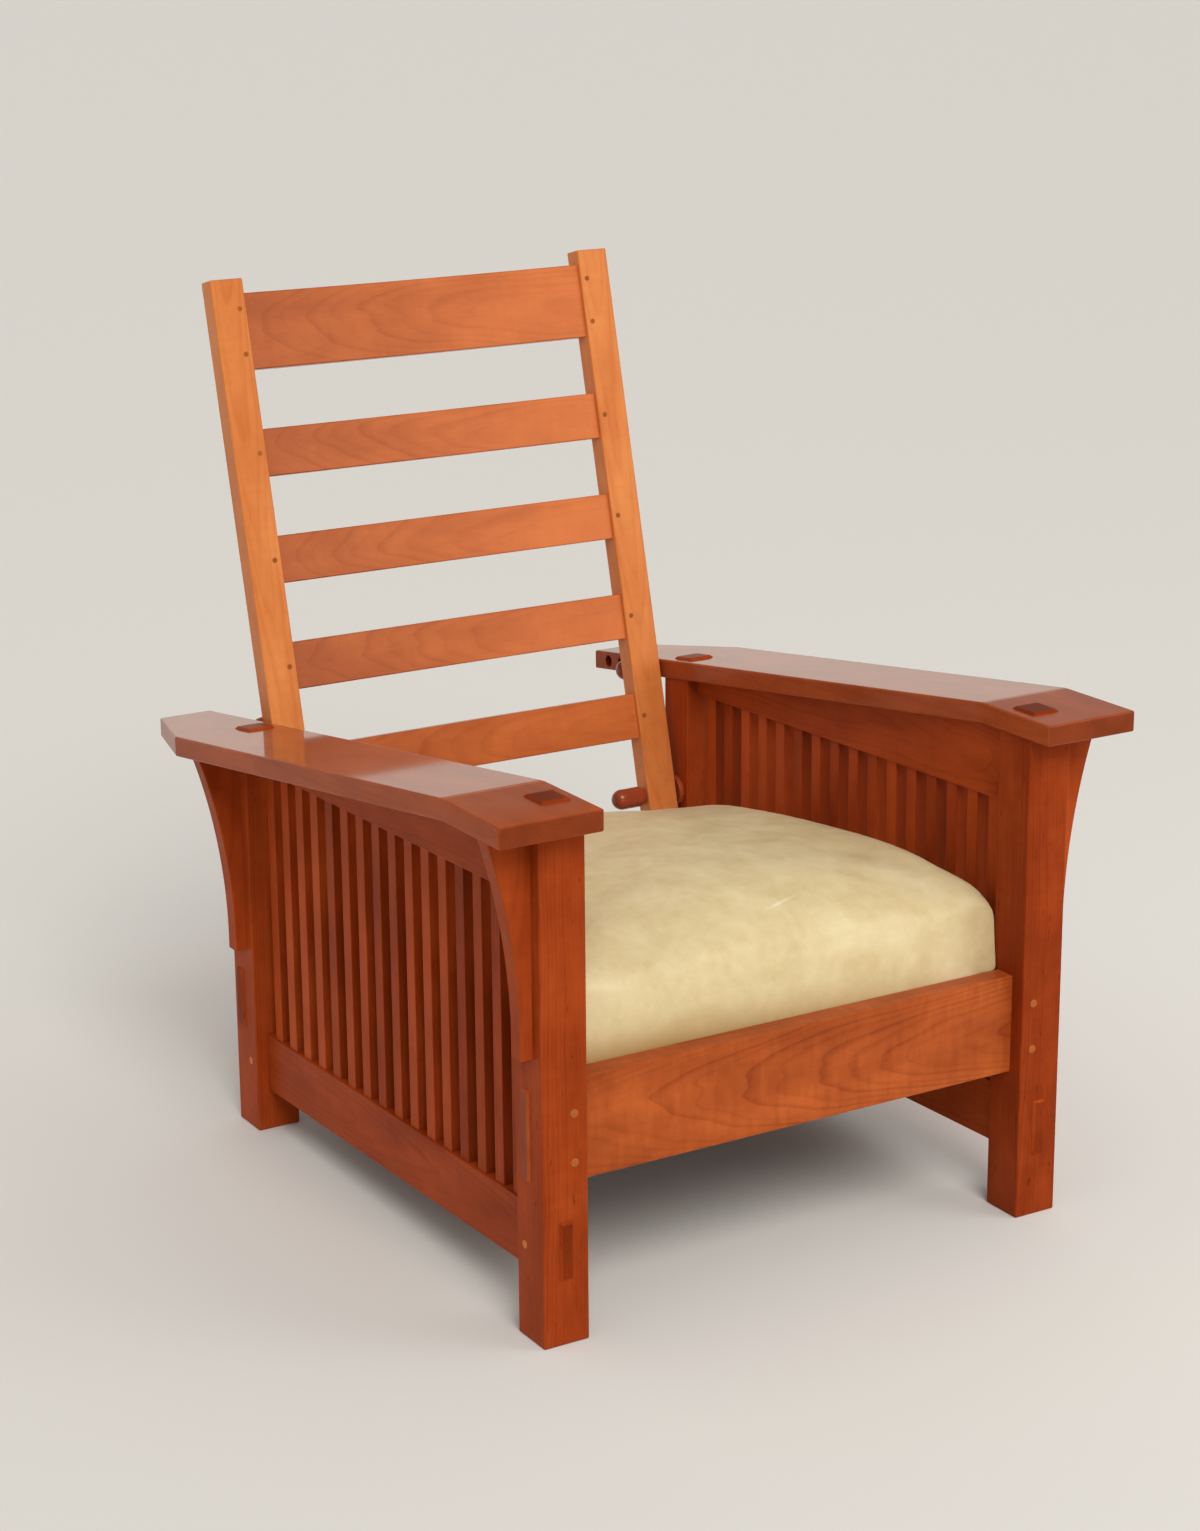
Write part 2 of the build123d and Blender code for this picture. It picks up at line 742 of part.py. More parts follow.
# Back slats: gentle arcs that bow to the rear, with a straight tenon at each end
half_span = post_inner_x
bow_radius = (half_span ** 2 + slat_bow ** 2) / (2 * slat_bow)
slat_front = -post_depth / 2 + slat_recess
slat_rear = slat_front + slat_thickness
tenon_middle = (slat_front + slat_rear) / 2
post_top = (back_height - hinge_height - post_depth / 2 * sin(radians(back_tilt))) / cos(
    radians(back_tilt)
)
slats = []
slat_top = post_top - slat_margin
slat_total = top_slat_height + (slat_count - 1) * slat_height
slat_gap = (slat_top - lowest_slat_lift - slat_total) / (slat_count - 1)
for number in range(slat_count):
    height = top_slat_height if number == 0 else slat_height
    slats.append((f"back_slat_{number + 1}", slat_top - height, height))
    slat_top -= height + slat_gap

# Back pins: two through each end of the top slat and one through each end of the others
with BuildPart() as back_pins:
    for slat_name, slat_bottom, height in slats:
        pin_plane = Plane(
            origin=back_plane.from_local_coords((0, -post_depth / 2 - pin_proud, slat_bottom + height / 2)),
            x_dir=(1, 0, 0),
            z_dir=-back_plane.y_dir,
        )
        rows = 2 if height == top_slat_height else 1
        with BuildSketch(pin_plane):
            with GridLocations(2 * (post_inner_x + back_pin_setback), top_slat_pin_spacing, 2, rows):
                Circle(back_pin_radius)
        extrude(amount=-(post_depth + pin_proud - slat_recess / 2))
    chamfer(
        back_pins.edges()
        .filter_by(GeomType.CIRCLE)
        .filter_by(lambda edge: back_plane.to_local_coords(edge.center()).Y < -post_depth / 2),
        pin_proud / 2,
    )
save(back_pins.part, "back_pins")

slat_parts = []
for slat_name, slat_bottom, height in slats:
    with BuildPart() as slat:
        with BuildSketch(back_plane.offset(slat_bottom)):
            with BuildLine():
                front_arc = ThreePointArc(
                    (-half_span, slat_front),
                    (0, slat_front + slat_bow),
                    (half_span, slat_front),
                )
                rear_arc = ThreePointArc(
                    (half_span, slat_rear),
                    (0, slat_rear + slat_bow),
                    (-half_span, slat_rear),
                )
                Line(front_arc @ 1, rear_arc @ 0)
                Line(rear_arc @ 1, front_arc @ 0)
            make_face()
        extrude(amount=height)
        fillet(slat.edges().filter_by(GeomType.CIRCLE), slat_ease)
        with BuildSketch(back_plane.offset(slat_bottom + slat_tenon_shoulder)):
            with Locations(
                (-half_span, tenon_middle),
                (half_span, tenon_middle),
            ):
                Rectangle(2 * slat_tenon_depth, slat_tenon_thickness)
        extrude(amount=height - 2 * slat_tenon_shoulder)
        add(back_pins.part, mode=Mode.SUBTRACT)
    save(slat.part, slat_name)
    slat_parts.append(slat.part)


# Back posts, bored for the hinge pegs
for side_name, side in SIDES.items():
    with BuildPart() as post:
        with BuildSketch(back_plane.offset(-post_tail)):
            with Locations((side * post_x, 0)):
                Rectangle(post_width, post_depth)
        extrude(amount=post_top + post_tail)
        fillet(post.edges(), post_ease)
        for slat_part in slat_parts:
            add(slat_part, mode=Mode.SUBTRACT)
        add(back_pins.part, mode=Mode.SUBTRACT)
        with BuildSketch(outward_plane(side, post_inner_x - overrun, hinge_y, hinge_height)):
            Circle(peg_shank_radius + peg_clearance)
        extrude(amount=post_width + 2 * overrun, mode=Mode.SUBTRACT)
    save(post.part, f"back_post_{side_name}")


# Pegs: a shank that goes out through the wood and a bullet-shaped head on the inside
def turned_peg(side, face_x, y, z, shank_length):
    """A peg whose head rises from a face at x and whose shank runs outward from it."""
    with BuildPart() as peg:
        peg_plane = Plane(origin=(side * face_x, y, z), x_dir=(-side, 0, 0), z_dir=(0, side, 0))
        with BuildSketch(peg_plane):
            with BuildLine():
                dome_start = peg_head_length - peg_head_radius
                shank_line = Polyline(
                    (-shank_length, 0),
                    (-shank_length, peg_shank_radius - peg_tip_chamfer),
                    (-shank_length + peg_tip_chamfer, peg_shank_radius),
                    (0, peg_shank_radius),
                    (0, peg_neck_radius),
                )
                neck_arc = TangentArc(
                    (peg_neck_length, peg_head_radius),
                    shank_line @ 1,
                    tangent=(-1, 0),
                )
                side_line = Line(neck_arc @ 0, (dome_start, peg_head_radius))
                dome_arc = TangentArc(side_line @ 1, (peg_head_length, 0), tangent=(1, 0))
                Line(dome_arc @ 1, shank_line @ 0)
            make_face()
        revolve(axis=Axis((side * face_x, y, z), (1, 0, 0)))
    return peg.part


hinge_shank = post_width + back_side_gap + peg_bite_in_leg
for side_name, side in SIDES.items():
    hinge_peg = turned_peg(side, post_inner_x, hinge_y, hinge_height, hinge_shank)
    save(hinge_peg, f"hinge_peg_{side_name}")
    support_peg = turned_peg(
        side, arm_inner_x, first_hole_y, arm_middle(first_hole_y), peg_bite_in_arm
    )
    save(support_peg, f"support_peg_{side_name}")
    with BuildPart() as washer:
        with BuildSketch(outward_plane(side, back_width / 2 + washer_side_gap, hinge_y, hinge_height)):
            Circle(washer_radius)
            Circle(peg_shank_radius + washer_bore_clearance, mode=Mode.SUBTRACT)
        extrude(amount=back_side_gap - washer_side_gap)
        rims = washer.edges().filter_by(GeomType.CIRCLE).group_by(SortBy.RADIUS)[-1]
        fillet(rims, washer_ease)
    save(washer.part, f"hinge_washer_{side_name}")


# Seat frame: four members held by dowels, laid on the cleats
with BuildPart() as seat_dowels:
    for side in SIDES.values():
        for joint_y in (seat_frame_width, seat_length - seat_frame_width):
            for step in (-1, 1):
                dowel_x = side * (seat_half_width - seat_frame_width / 2) + step * seat_dowel_spacing / 2
                dowel_start = Plane(
                    origin=seat_plane.from_local_coords(
                        (dowel_x, joint_y - seat_dowel_length / 2, -seat_frame_thickness / 2)
                    ),
                    x_dir=(1, 0, 0),
                    z_dir=seat_plane.y_dir,
                )
                with BuildSketch(dowel_start):
                    Circle(seat_dowel_radius)
                extrude(amount=seat_dowel_length)
save(seat_dowels.part, "seat_dowels")

end_members = {
    "seat_frame_front": seat_frame_width / 2,
    "seat_frame_rear": seat_length - seat_frame_width / 2,
}
for member_name, member_y in end_members.items():
    with BuildPart() as member:
        with BuildSketch(frame_plane):
            with Locations((0, member_y)):
                Rectangle(2 * seat_half_width, seat_frame_width)
        extrude(amount=seat_frame_thickness)
        add(seat_dowels.part, mode=Mode.SUBTRACT)
        add(seat_screws.part, mode=Mode.SUBTRACT)
    save(member.part, member_name)
for side_name, side in SIDES.items():
    with BuildPart() as member:
        with BuildSketch(frame_plane):
            with Locations((side * (seat_half_width - seat_frame_width / 2), seat_length / 2)):
                Rectangle(seat_frame_width, side_member_length)
        extrude(amount=seat_frame_thickness)
        add(seat_dowels.part, mode=Mode.SUBTRACT)
    save(member.part, f"seat_frame_{side_name}")


# Webbing: long straps on the frame, with cross straps over them
web_field_x = 2 * (seat_half_width - seat_frame_width)
with BuildPart() as long_webbing:
    with BuildSketch(seat_plane):
        with Locations((0, seat_length / 2)):
            with GridLocations(web_field_x / long_web_count, 0, long_web_count, 1):
                Rectangle(web_width, side_member_length + 2 * web_lap)
    extrude(amount=web_thickness)
save(long_webbing.part, "seat_webbing_long")
with BuildPart() as cross_webbing:
    with BuildSketch(seat_plane.offset(web_thickness)):
        with Locations((0, seat_length / 2)):
            with GridLocations(0, side_member_length / cross_web_count, 1, cross_web_count):
                Rectangle(web_field_x + 2 * web_lap, web_width)
    extrude(amount=web_thickness)
save(cross_webbing.part, "seat_webbing_cross")

# Dust cover: a thin cloth under the frame, clear of the cleats
dust_plane = frame_plane.offset(-dust_cover_thickness)
with BuildPart() as dust_cover:
    with BuildSketch(dust_plane):
        with Locations((0, seat_length / 2)):
            Rectangle(
                2 * (seat_half_width - dust_cover_margin),
                seat_length - 2 * (cleat_width + dust_cover_margin),
            )
    extrude(amount=dust_cover_thickness)
save(dust_cover.part, "dust_cover")


# Cleats, cut to the slope of the frame that rests on them
for cleat_name, (cleat_start, cleat_end, rail_face_y, facing) in cleats.items():
    with BuildPart() as cleat:
        with BuildSketch(side_plane(0)):
            with BuildLine():
                Polyline(
                    (cleat_start, frame_underside(cleat_end) - cleat_height),
                    (cleat_end, frame_underside(cleat_end) - cleat_height),
                    (cleat_end, frame_underside(cleat_end)),
                    (cleat_start, frame_underside(cleat_start)),
                    close=True,
                )
            make_face()
        extrude(amount=leg_inner_x - cleat_end_gap, both=True)
        add(cleat_screws.part, mode=Mode.SUBTRACT)
        add(seat_screws.part, mode=Mode.SUBTRACT)
    save(cleat.part, cleat_name)


# Cushion: sections from front to rear, each with a flat bottom and a crowned top
cushion_length = seat_length + cushion_front_lap - cushion_rear_room
cushion_half_width = leg_inner_x - cushion_side_gap
cushion_plane = seat_plane.offset(2 * web_thickness + cushion_clearance)


def cushion_section(station_share, crown_share, shoulder_share, draw_in_share):
    """One cross-section of the cushion, square to its length."""
    half_width = cushion_half_width - draw_in_share * cushion_draw_in
    crown_height = cushion_end_height + crown_share * cushion_crown
    edge_height = crown_height - cushion_top_rise
    section_plane = Plane(
        origin=cushion_plane.from_local_coords(
            (0, station_share * cushion_length - cushion_front_lap, 0)
        ),
        x_dir=(-1, 0, 0),
        z_dir=cushion_plane.y_dir,
    )
    with BuildSketch(section_plane) as section:
        with BuildLine():
            Polyline(
                (half_width, edge_height),
                (half_width, 0),
                (-half_width, 0),
                (-half_width, edge_height),
            )
            ThreePointArc((-half_width, edge_height), (0, crown_height), (half_width, edge_height))
        make_face()
        fillet(section.vertices().group_by(Axis.Y)[-1], shoulder_share * cushion_shoulder)
    return section.sketch


with BuildPart() as seat_cushion:
    loft([
        cushion_section(*shares)
        for shares in zip(
            cushion_station_shares,
            cushion_crown_shares,
            cushion_shoulder_shares,
            cushion_draw_in_shares,
        )
    ])
    cushion_ends = seat_cushion.faces().filter_by(GeomType.PLANE).sort_by(Axis.Y)
    fillet(
        cushion_ends[0].edges().sort_by(Axis.Z)[1:] + cushion_ends[-1].edges().sort_by(Axis.Z)[1:],
        cushion_end_ease,
    )
save(seat_cushion.part, "seat_cushion")
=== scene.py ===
import math
from collections import namedtuple

import bmesh
import bpy
from bpy.props import FloatProperty, FloatVectorProperty, IntProperty, PointerProperty
from mathutils import Matrix, Vector


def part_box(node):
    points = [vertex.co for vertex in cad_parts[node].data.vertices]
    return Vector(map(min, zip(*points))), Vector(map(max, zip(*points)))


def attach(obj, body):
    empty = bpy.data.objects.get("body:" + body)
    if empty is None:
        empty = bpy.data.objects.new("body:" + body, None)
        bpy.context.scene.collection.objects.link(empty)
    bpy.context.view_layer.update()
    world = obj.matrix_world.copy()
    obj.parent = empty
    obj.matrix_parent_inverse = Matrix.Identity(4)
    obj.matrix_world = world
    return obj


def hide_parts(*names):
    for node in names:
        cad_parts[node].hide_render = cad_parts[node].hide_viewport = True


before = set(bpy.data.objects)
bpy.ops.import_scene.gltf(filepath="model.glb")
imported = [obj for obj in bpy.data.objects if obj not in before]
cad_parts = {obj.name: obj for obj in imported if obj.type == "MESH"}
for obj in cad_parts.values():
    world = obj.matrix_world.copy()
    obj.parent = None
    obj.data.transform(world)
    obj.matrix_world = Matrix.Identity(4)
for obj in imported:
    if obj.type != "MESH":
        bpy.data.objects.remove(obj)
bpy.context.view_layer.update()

bl_info = {
    "name": "Mission Reclining Armchair",
    "version": (1, 0, 0),
    "blender": (4, 5, 0),
    "location": "View3D > Sidebar > Armchair",
    "description": "Dresses a spindle-sided reclining armchair in lacquered cherry and leather",
    "category": "Object",
}

MM = 0.001
X, Y, Z = Vector((1, 0, 0)), Vector((0, 1, 0)), Vector((0, 0, 1))
SIDES = ("left", "right")
ENDS = ("front", "rear")
BACK_TILT = math.radians(13.8)
SEAT_SLOPE = math.radians(6.2)
SLAT_COUNT = 5
SPINDLE_COUNT = 16
SPINDLE_WIDTH = 19.5 * MM

UP_THE_BACK = Vector((0, math.sin(BACK_TILT), math.cos(BACK_TILT)))
BACK_DEPTH = Vector((0, math.cos(BACK_TILT), -math.sin(BACK_TILT)))
UP_FROM_SEAT = Vector((0, math.sin(SEAT_SLOPE), math.cos(SEAT_SLOPE)))
ALONG_SEAT = Vector((0, math.cos(SEAT_SLOPE), -math.sin(SEAT_SLOPE)))


def linear(hex_colour):
    """Turn an sRGB hex colour into linear red, green and blue."""
    channels = [int(hex_colour[start:start + 2], 16) / 255 for start in (1, 3, 5)]
    return [c / 12.92 if c <= 0.04045 else ((c + 0.055) / 1.055) ** 2.4 for c in channels]


def colour_property(name, hex_colour):
    """A colour that a user may change."""
    return FloatVectorProperty(
        name=name,
        description=f"{name} of the finished surface",
        subtype="COLOR",
        size=3,
        min=0.0,
        max=1.0,
        default=linear(hex_colour),
    )


def length_property(name, description, default):
    """A length that a user may change, in metres."""
    return FloatProperty(name=name, description=description, default=default, min=0.0, unit="LENGTH")


class ArmchairWood(bpy.types.PropertyGroup):
    """Colours and grain of the cherry."""

    frame_light: colour_property("Frame light wood", "#BC5121")
    frame_dark: colour_property("Frame dark wood", "#883210")
    rail_light: colour_property("Front rail light wood", "#B95A28")
    rail_dark: colour_property("Front rail dark wood", "#903D18")
    arm_light: colour_property("Arm light wood", "#B4562A")
    arm_dark: colour_property("Arm dark wood", "#8A3A18")
    post_light: colour_property("Post light wood", "#E28E4E")
    post_dark: colour_property("Post dark wood", "#BD622A")
    slat_light: colour_property("Slat light wood", "#CC6C36")
    slat_dark: colour_property("Slat dark wood", "#A34B21")
    peg_light: colour_property("Peg light wood", "#B2502E")
    peg_dark: colour_property("Peg dark wood", "#7A2C17")
    pin_light: colour_property("Pin light wood", "#D38648")
    pin_dark: colour_property("Pin dark wood", "#BC6A36")
    seat_light: colour_property("Seat frame light wood", "#D9BE92")
    seat_dark: colour_property("Seat frame dark wood", "#B3925F")
    ring_spacing: length_property("Ring spacing", "Mean distance between growth rings", 4.5 * MM)
    fibre_width: length_property("Fibre width", "Width of the fine streaks of the wood", 0.9 * MM)


class ArmchairCushion(bpy.types.PropertyGroup):
    """Leather and filling of the seat cushion."""

    light: colour_property("Leather highlights", "#E3D3A8")
    body: colour_property("Leather", "#D3BE8E")
    shade: colour_property("Leather hollows", "#BCA36D")
    # Colour of the painted shade on the cushion's lower front edge
    edge: colour_property("Leather painted shade", "#A8844D")
    pressure: FloatProperty(
        name="Filling pressure",
        description="How hard the filling presses on the cover",
        default=1.5,
        min=0.0,
    )
    frames: IntProperty(
        name="Settling frames",
        description="How long the cover is left to settle over its filling",
        default=20,
        min=2,
    )
    voxel: length_property("Mesh size", "Size of the mesh that is settled", 6.0 * MM)
    start_inset: length_property("Start inset", "How far the cover starts inside its form", 3.0 * MM)
    shoulder_fill: length_property(
        "Shoulder filling", "How far the filling rounds out the shoulders", 3.0 * MM,
    )
    corner_fill: length_property(
        "Corner filling", "How far the filling squares the front corners", 16.0 * MM,
    )
    crown_dip: length_property(
        "Crown dip", "How far the crown falls away before the shoulders", 6.0 * MM,
    )
    most_swell: length_property("Most swell", "Furthest that any point may move", 24.0 * MM)
    most_sink: length_property("Most sink", "Furthest that any point may move inwards", 0.5 * MM)
    grain_size: length_property("Leather grain", "Size of one pebble of the grain", 2.4 * MM)


class ArmchairStage(bpy.types.PropertyGroup):
    """Camera, light and floor."""

    camera_place: FloatVectorProperty(
        name="Camera place",
        description="Where the camera stands",
        subtype="TRANSLATION",
        unit="LENGTH",
        default=(-1.9130, -3.1750, 1.5773),
    )
    camera_heading: FloatProperty(
        name="Camera heading",
        description="How far the camera is turned to the right of straight ahead",
        subtype="ANGLE",
        default=math.radians(31.08),
    )
    camera_dip: FloatProperty(
        name="Camera dip",
        description="How far the camera looks down",
        subtype="ANGLE",
        default=math.radians(16.27),
    )
    camera_roll: FloatProperty(
        name="Camera roll",
        description="How far the camera leans to one side",
        subtype="ANGLE",
        default=math.radians(-0.44),
    )
    camera_lens: FloatProperty(
        name="Focal length",
        description="Focal length in millimetres on a 36 mm frame",
        default=74.39,
    )
    sky_strength: FloatProperty(
        name="Room light",
        description="Strength of the even light from all round",
        default=0.55,
    )
    key_strength: FloatProperty(
        name="Key light",
        description="Strength of the broad light above the camera",
        default=1.8,
    )
    panel_place: FloatVectorProperty(
        name="Soft panel place",
        description="Where the soft panel of light stands",
        subtype="TRANSLATION",
        unit="LENGTH",
        default=(2.0, -2.2, 1.6),
    )
    panel_size: length_property("Soft panel size", "Width of the soft panel of light", 1.8)
    panel_power: FloatProperty(
        name="Soft panel power",
        description="Power of the soft panel of light",
        default=20.0,
        unit="POWER",
    )
    floor_colour: colour_property("Floor", "#DEDAD2")
    floor_radius: length_property("Floor radius", "How far the floor reaches", 45.0)


def add_node(tree, kind, inputs=(), **settings):
    """Add a node, set its properties, and link or set its inputs by name or number."""
    node = tree.nodes.new(kind)
    for name, value in settings.items():
        setattr(node, name, value)
    for key, value in dict(inputs).items():
        if isinstance(value, bpy.types.Node):
            value = value.outputs[0]
        if isinstance(value, bpy.types.NodeSocket):
            tree.links.new(value, node.inputs[key])
        else:
            node.inputs[key].default_value = value
    return node


def set_stops(node, stops):
    """Give a colour ramp its stops, each a position and a linear colour."""
    elements = node.color_ramp.elements
    while len(elements) < len(stops):
        elements.new(0.5)
    for element, (position, colour) in zip(elements, stops):
        element.position = position
        element.color = (*colour, 1.0)


def new_material(name):
    """An empty material with a Principled shader, as (material, node tree, shader)."""
    material = bpy.data.materials.new(name)
    material.use_nodes = True
    tree = material.node_tree
    tree.nodes.clear()
    shader = add_node(tree, "ShaderNodeBsdfPrincipled")
    add_node(tree, "ShaderNodeOutputMaterial", {"Surface": shader})
    return material, tree, shader


def grey(value):
    """A neutral linear colour."""
    return (value, value, value)


def per(*lengths):
    """How often a pattern repeats in a metre, for its size along each axis."""
    return tuple(1 / length for length in lengths)


# How a board lies and was sawn: its width and length directions, how far the heart of the tree
# lies from its middle across and below, and how far the heart leans from its length
Board = namedtuple("Board", "width length heart lean")

# How much of the range from dark to light wood is left to the tone of a single board
TONE_RANGE = 0.24

# Members drawn lighter or darker than the rest of their kind, as a share of dark to light; the amounts
# were matched to each member's look under its light, so they hold its own tone and also some painted
# light and shade
BOARD_TONES = {
    "front_leg_left": -0.08,
    "front_leg_right": -0.17,
    "lower_side_rail_left": -0.06,
    "back_slat_3": 0.04,
    "back_slat_5": -0.03,
    "back_pins": -0.15,
    "frame_pins": -0.06,
    "corbel_plugs": -0.2,
}

# Where the heart of the tree lies from a board's middle, across and below
FLAT_SAWN = (12 * MM, -48 * MM)
RIFT_SAWN = (-70 * MM, -55 * MM)

# How far the heart leans from the board's length: the more, the shorter the arches of the rings
GENTLE_LEAN = math.radians(2.2)
STRONG_LEAN = math.radians(5.0)

# How far the pattern is moved on from one spindle or board to the next, so that no two match
SPINDLE_STEP = 5.37
BOARD_STEP = 3.17

# A streak of the wood is this many times as long as it is wide
STREAK_STRETCH = 45


def lacquered_cherry(node, tone, board, seed, shine=0.06, coat=0.0, gloss=0.2, rings=0.11, figure=0.09,
                     edge_polish=1.0, fade=0.0, flecks=0.0, row=False):
    """Black cherry under a satin lacquer.  It gives the eye fine growth rings that arch on
    flat-sawn faces, silky streaks along the grain, a red warmth and soft, broad reflections.
    The rings are drawn 4.5 mm apart and the streaks 0.9 mm wide, about twice as coarse as real, so
    that they show in a picture of the whole chair."""
    wood = bpy.context.scene.armchair_wood
    light = tuple(getattr(wood, f"{tone}_light"))
    dark = tuple(getattr(wood, f"{tone}_dark"))
    material, tree, shader = new_material(f"lacquered_cherry_{node}")
    low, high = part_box(node)
    middle = (low + high) / 2
    turn = Matrix((board.width, board.length.cross(board.width), board.length))
    place = add_node(tree, "ShaderNodeTexCoord")
    local = add_node(tree, "ShaderNodeMapping", {
        "Vector": place.outputs["Object"],
        "Location": -(turn @ middle),
        "Rotation": turn.to_euler(),
    })
    number = seed
    tint = 0.5 + BOARD_TONES.get(node, 0.0) / TONE_RANGE
    if row:
        span = high.y - low.y
        pitch = (span - SPINDLE_WIDTH) / (SPINDLE_COUNT - 1)
        parts = add_node(tree, "ShaderNodeSeparateXYZ", {0: local})
        along_row = add_node(tree, "ShaderNodeMath", {0: parts.outputs[0], 1: span / 2}, operation="ADD")
        count = add_node(tree, "ShaderNodeMath", {0: along_row, 1: pitch}, operation="DIVIDE")
        whole = add_node(tree, "ShaderNodeMath", {0: count}, operation="FLOOR")
        rest = add_node(tree, "ShaderNodeMath", {0: count}, operation="FRACT")
        inside = add_node(tree, "ShaderNodeMath", {0: rest, 1: pitch, 2: -SPINDLE_WIDTH / 2},
                          operation="MULTIPLY_ADD")
        local = add_node(tree, "ShaderNodeCombineXYZ", {
            0: inside, 1: parts.outputs[1], 2: parts.outputs[2],
        })
        number = add_node(tree, "ShaderNodeMath", {0: whole, 1: SPINDLE_STEP, 2: seed},
                          operation="MULTIPLY_ADD")
        tint = add_node(tree, "ShaderNodeTexWhiteNoise", {"W": number}, noise_dimensions="1D")

    # Growth rings: the distance from the heart of the tree, which wanders slowly along the board
    wander_place = add_node(tree, "ShaderNodeVectorMath", {0: local, 1: per(62 * MM, 62 * MM, 310 * MM)},
                            operation="MULTIPLY")
    wander = add_node(tree, "ShaderNodeTexNoise", {
        "Vector": wander_place, "W": number, "Scale": 1.0, "Detail": 2.5, "Roughness": 0.45,
    }, noise_dimensions="4D")
    from_heart = add_node(tree, "ShaderNodeMapping", {
        "Vector": local,
        "Location": (-board.heart[0], -board.heart[1], 0),
        "Rotation": (board.lean, board.lean / 3, 0),
    })
    drifted = add_node(tree, "ShaderNodeVectorMath", {
        0: wander.outputs["Color"], 1: grey(22 * MM), 2: from_heart,
    }, operation="MULTIPLY_ADD")
    flat = add_node(tree, "ShaderNodeVectorMath", {0: drifted, 1: (1, 1, 0)}, operation="MULTIPLY")
    radius = add_node(tree, "ShaderNodeVectorMath", {0: flat}, operation="LENGTH").outputs["Value"]
    ring_count = add_node(tree, "ShaderNodeMath", {0: radius, 1: wood.ring_spacing}, operation="DIVIDE")
    ring = add_node(tree, "ShaderNodeMath", {0: ring_count}, operation="FRACT")
    late_wood = add_node(tree, "ShaderNodeValToRGB", {0: ring})
    set_stops(late_wood, [(0.0, grey(0.85)), (0.12, grey(0.12)), (0.55, grey(0.0)), (0.93, grey(1.0))])
    ring_number = add_node(tree, "ShaderNodeMath", {0: ring_count}, operation="FLOOR")
    ring_strength = add_node(tree, "ShaderNodeTexWhiteNoise", {"W": ring_number}, noise_dimensions="1D")
    late = add_node(tree, "ShaderNodeMath", {0: late_wood, 1: ring_strength}, operation="MULTIPLY")

    # Fibres, slow mottling and the cross-grain figure
    streak = per(wood.fibre_width, wood.fibre_width, STREAK_STRETCH * wood.fibre_width)
    fibre_place = add_node(tree, "ShaderNodeVectorMath", {0: local, 1: streak}, operation="MULTIPLY")
    fibre = add_node(tree, "ShaderNodeTexNoise", {
        "Vector": fibre_place, "W": number, "Scale": 1.0, "Detail": 3.0, "Roughness": 0.6,
    }, noise_dimensions="4D")
    mottle_place = add_node(tree, "ShaderNodeVectorMath", {
        0: local, 1: per(42 * MM, 42 * MM, 110 * MM),
    }, operation="MULTIPLY")
    mottle = add_node(tree, "ShaderNodeTexNoise", {
        "Vector": mottle_place, "W": number, "Scale": 1.0, "Detail": 3.0, "Roughness": 0.55,
    }, noise_dimensions="4D")
    figure_place = add_node(tree, "ShaderNodeVectorMath", {
        0: local, 1: per(33 * MM, 33 * MM, 9 * MM),
    }, operation="MULTIPLY")
    curl = add_node(tree, "ShaderNodeTexNoise", {
        "Vector": figure_place, "W": number, "Scale": 1.0, "Detail": 1.5, "Roughness": 0.5,
    }, noise_dimensions="4D")
    curl = add_node(tree, "ShaderNodeMath", {0: curl, 1: mottle}, operation="MULTIPLY")

    # End grain drinks more finish and looks darker
    end_on = add_node(tree, "ShaderNodeVectorMath", {0: place.outputs["Normal"], 1: board.length},
                      operation="DOT_PRODUCT").outputs["Value"]
    end_grain = add_node(tree, "ShaderNodeMath", {0: end_on, 1: 4.0}, operation="POWER")

    layers = ((fibre, 0.2), (mottle, 0.45), (curl, 2 * figure), (tint, TONE_RANGE))
    middle_shade = 0.5 - sum(amount for _, amount in layers) / 2 + figure / 2
    shade = add_node(tree, "ShaderNodeMath", {0: late, 1: -rings, 2: middle_shade},
                     operation="MULTIPLY_ADD")
    layers = [*layers, (end_grain, -0.3)]
    if fade:
        # Painted sheen: the board is drawn lighter toward its far end, in place of a broad sheen there
        along = add_node(tree, "ShaderNodeSeparateXYZ", {0: local}).outputs[2]
        layers.append((along, fade / (high - low).length))
    if row:
        # Painted shade: the sides toward the gaps are drawn darker, in place of the deep shade between
        # the spindles
        facing_gap = add_node(tree, "ShaderNodeVectorMath", {0: place.outputs["Normal"], 1: board.width},
                              operation="DOT_PRODUCT").outputs["Value"]
        gap_shade = add_node(tree, "ShaderNodeMath", {0: facing_gap, 1: 2.0}, operation="POWER")
        layers.append((gap_shade, -0.21))
    for layer, amount in layers:
        shade = add_node(tree, "ShaderNodeMath", {0: layer, 1: amount, 2: shade},
                         operation="MULTIPLY_ADD")
    colours = add_node(tree, "ShaderNodeValToRGB", {0: shade})
    deepest = tuple(c * 0.55 for c in dark)
    brightest = tuple(min(1.0, c * 1.12) for c in light)
    set_stops(colours, [(0.0, deepest), (0.3, dark), (0.72, light), (1.0, brightest)])
    colour = colours.outputs[0]
    if flecks:
        fleck_place = add_node(tree, "ShaderNodeVectorMath", {
            0: local, 1: per(4 * MM, 4 * MM, 17 * MM),
        }, operation="MULTIPLY")
        fleck_noise = add_node(tree, "ShaderNodeTexNoise", {
            "Vector": fleck_place, "W": number, "Scale": 1.0, "Detail": 1.0,
        }, noise_dimensions="4D")
        fleck = add_node(tree, "ShaderNodeMapRange", {
            "Value": fleck_noise, "From Min": 0.70, "From Max": 0.76, "To Max": flecks,
        })
        colour = add_node(tree, "ShaderNodeMix", {
            0: fleck, 6: colours, 7: (*linear("#3A1206"), 1.0),
        }, data_type="RGBA").outputs[2]
    tree.links.new(colour, shader.inputs["Base Color"])
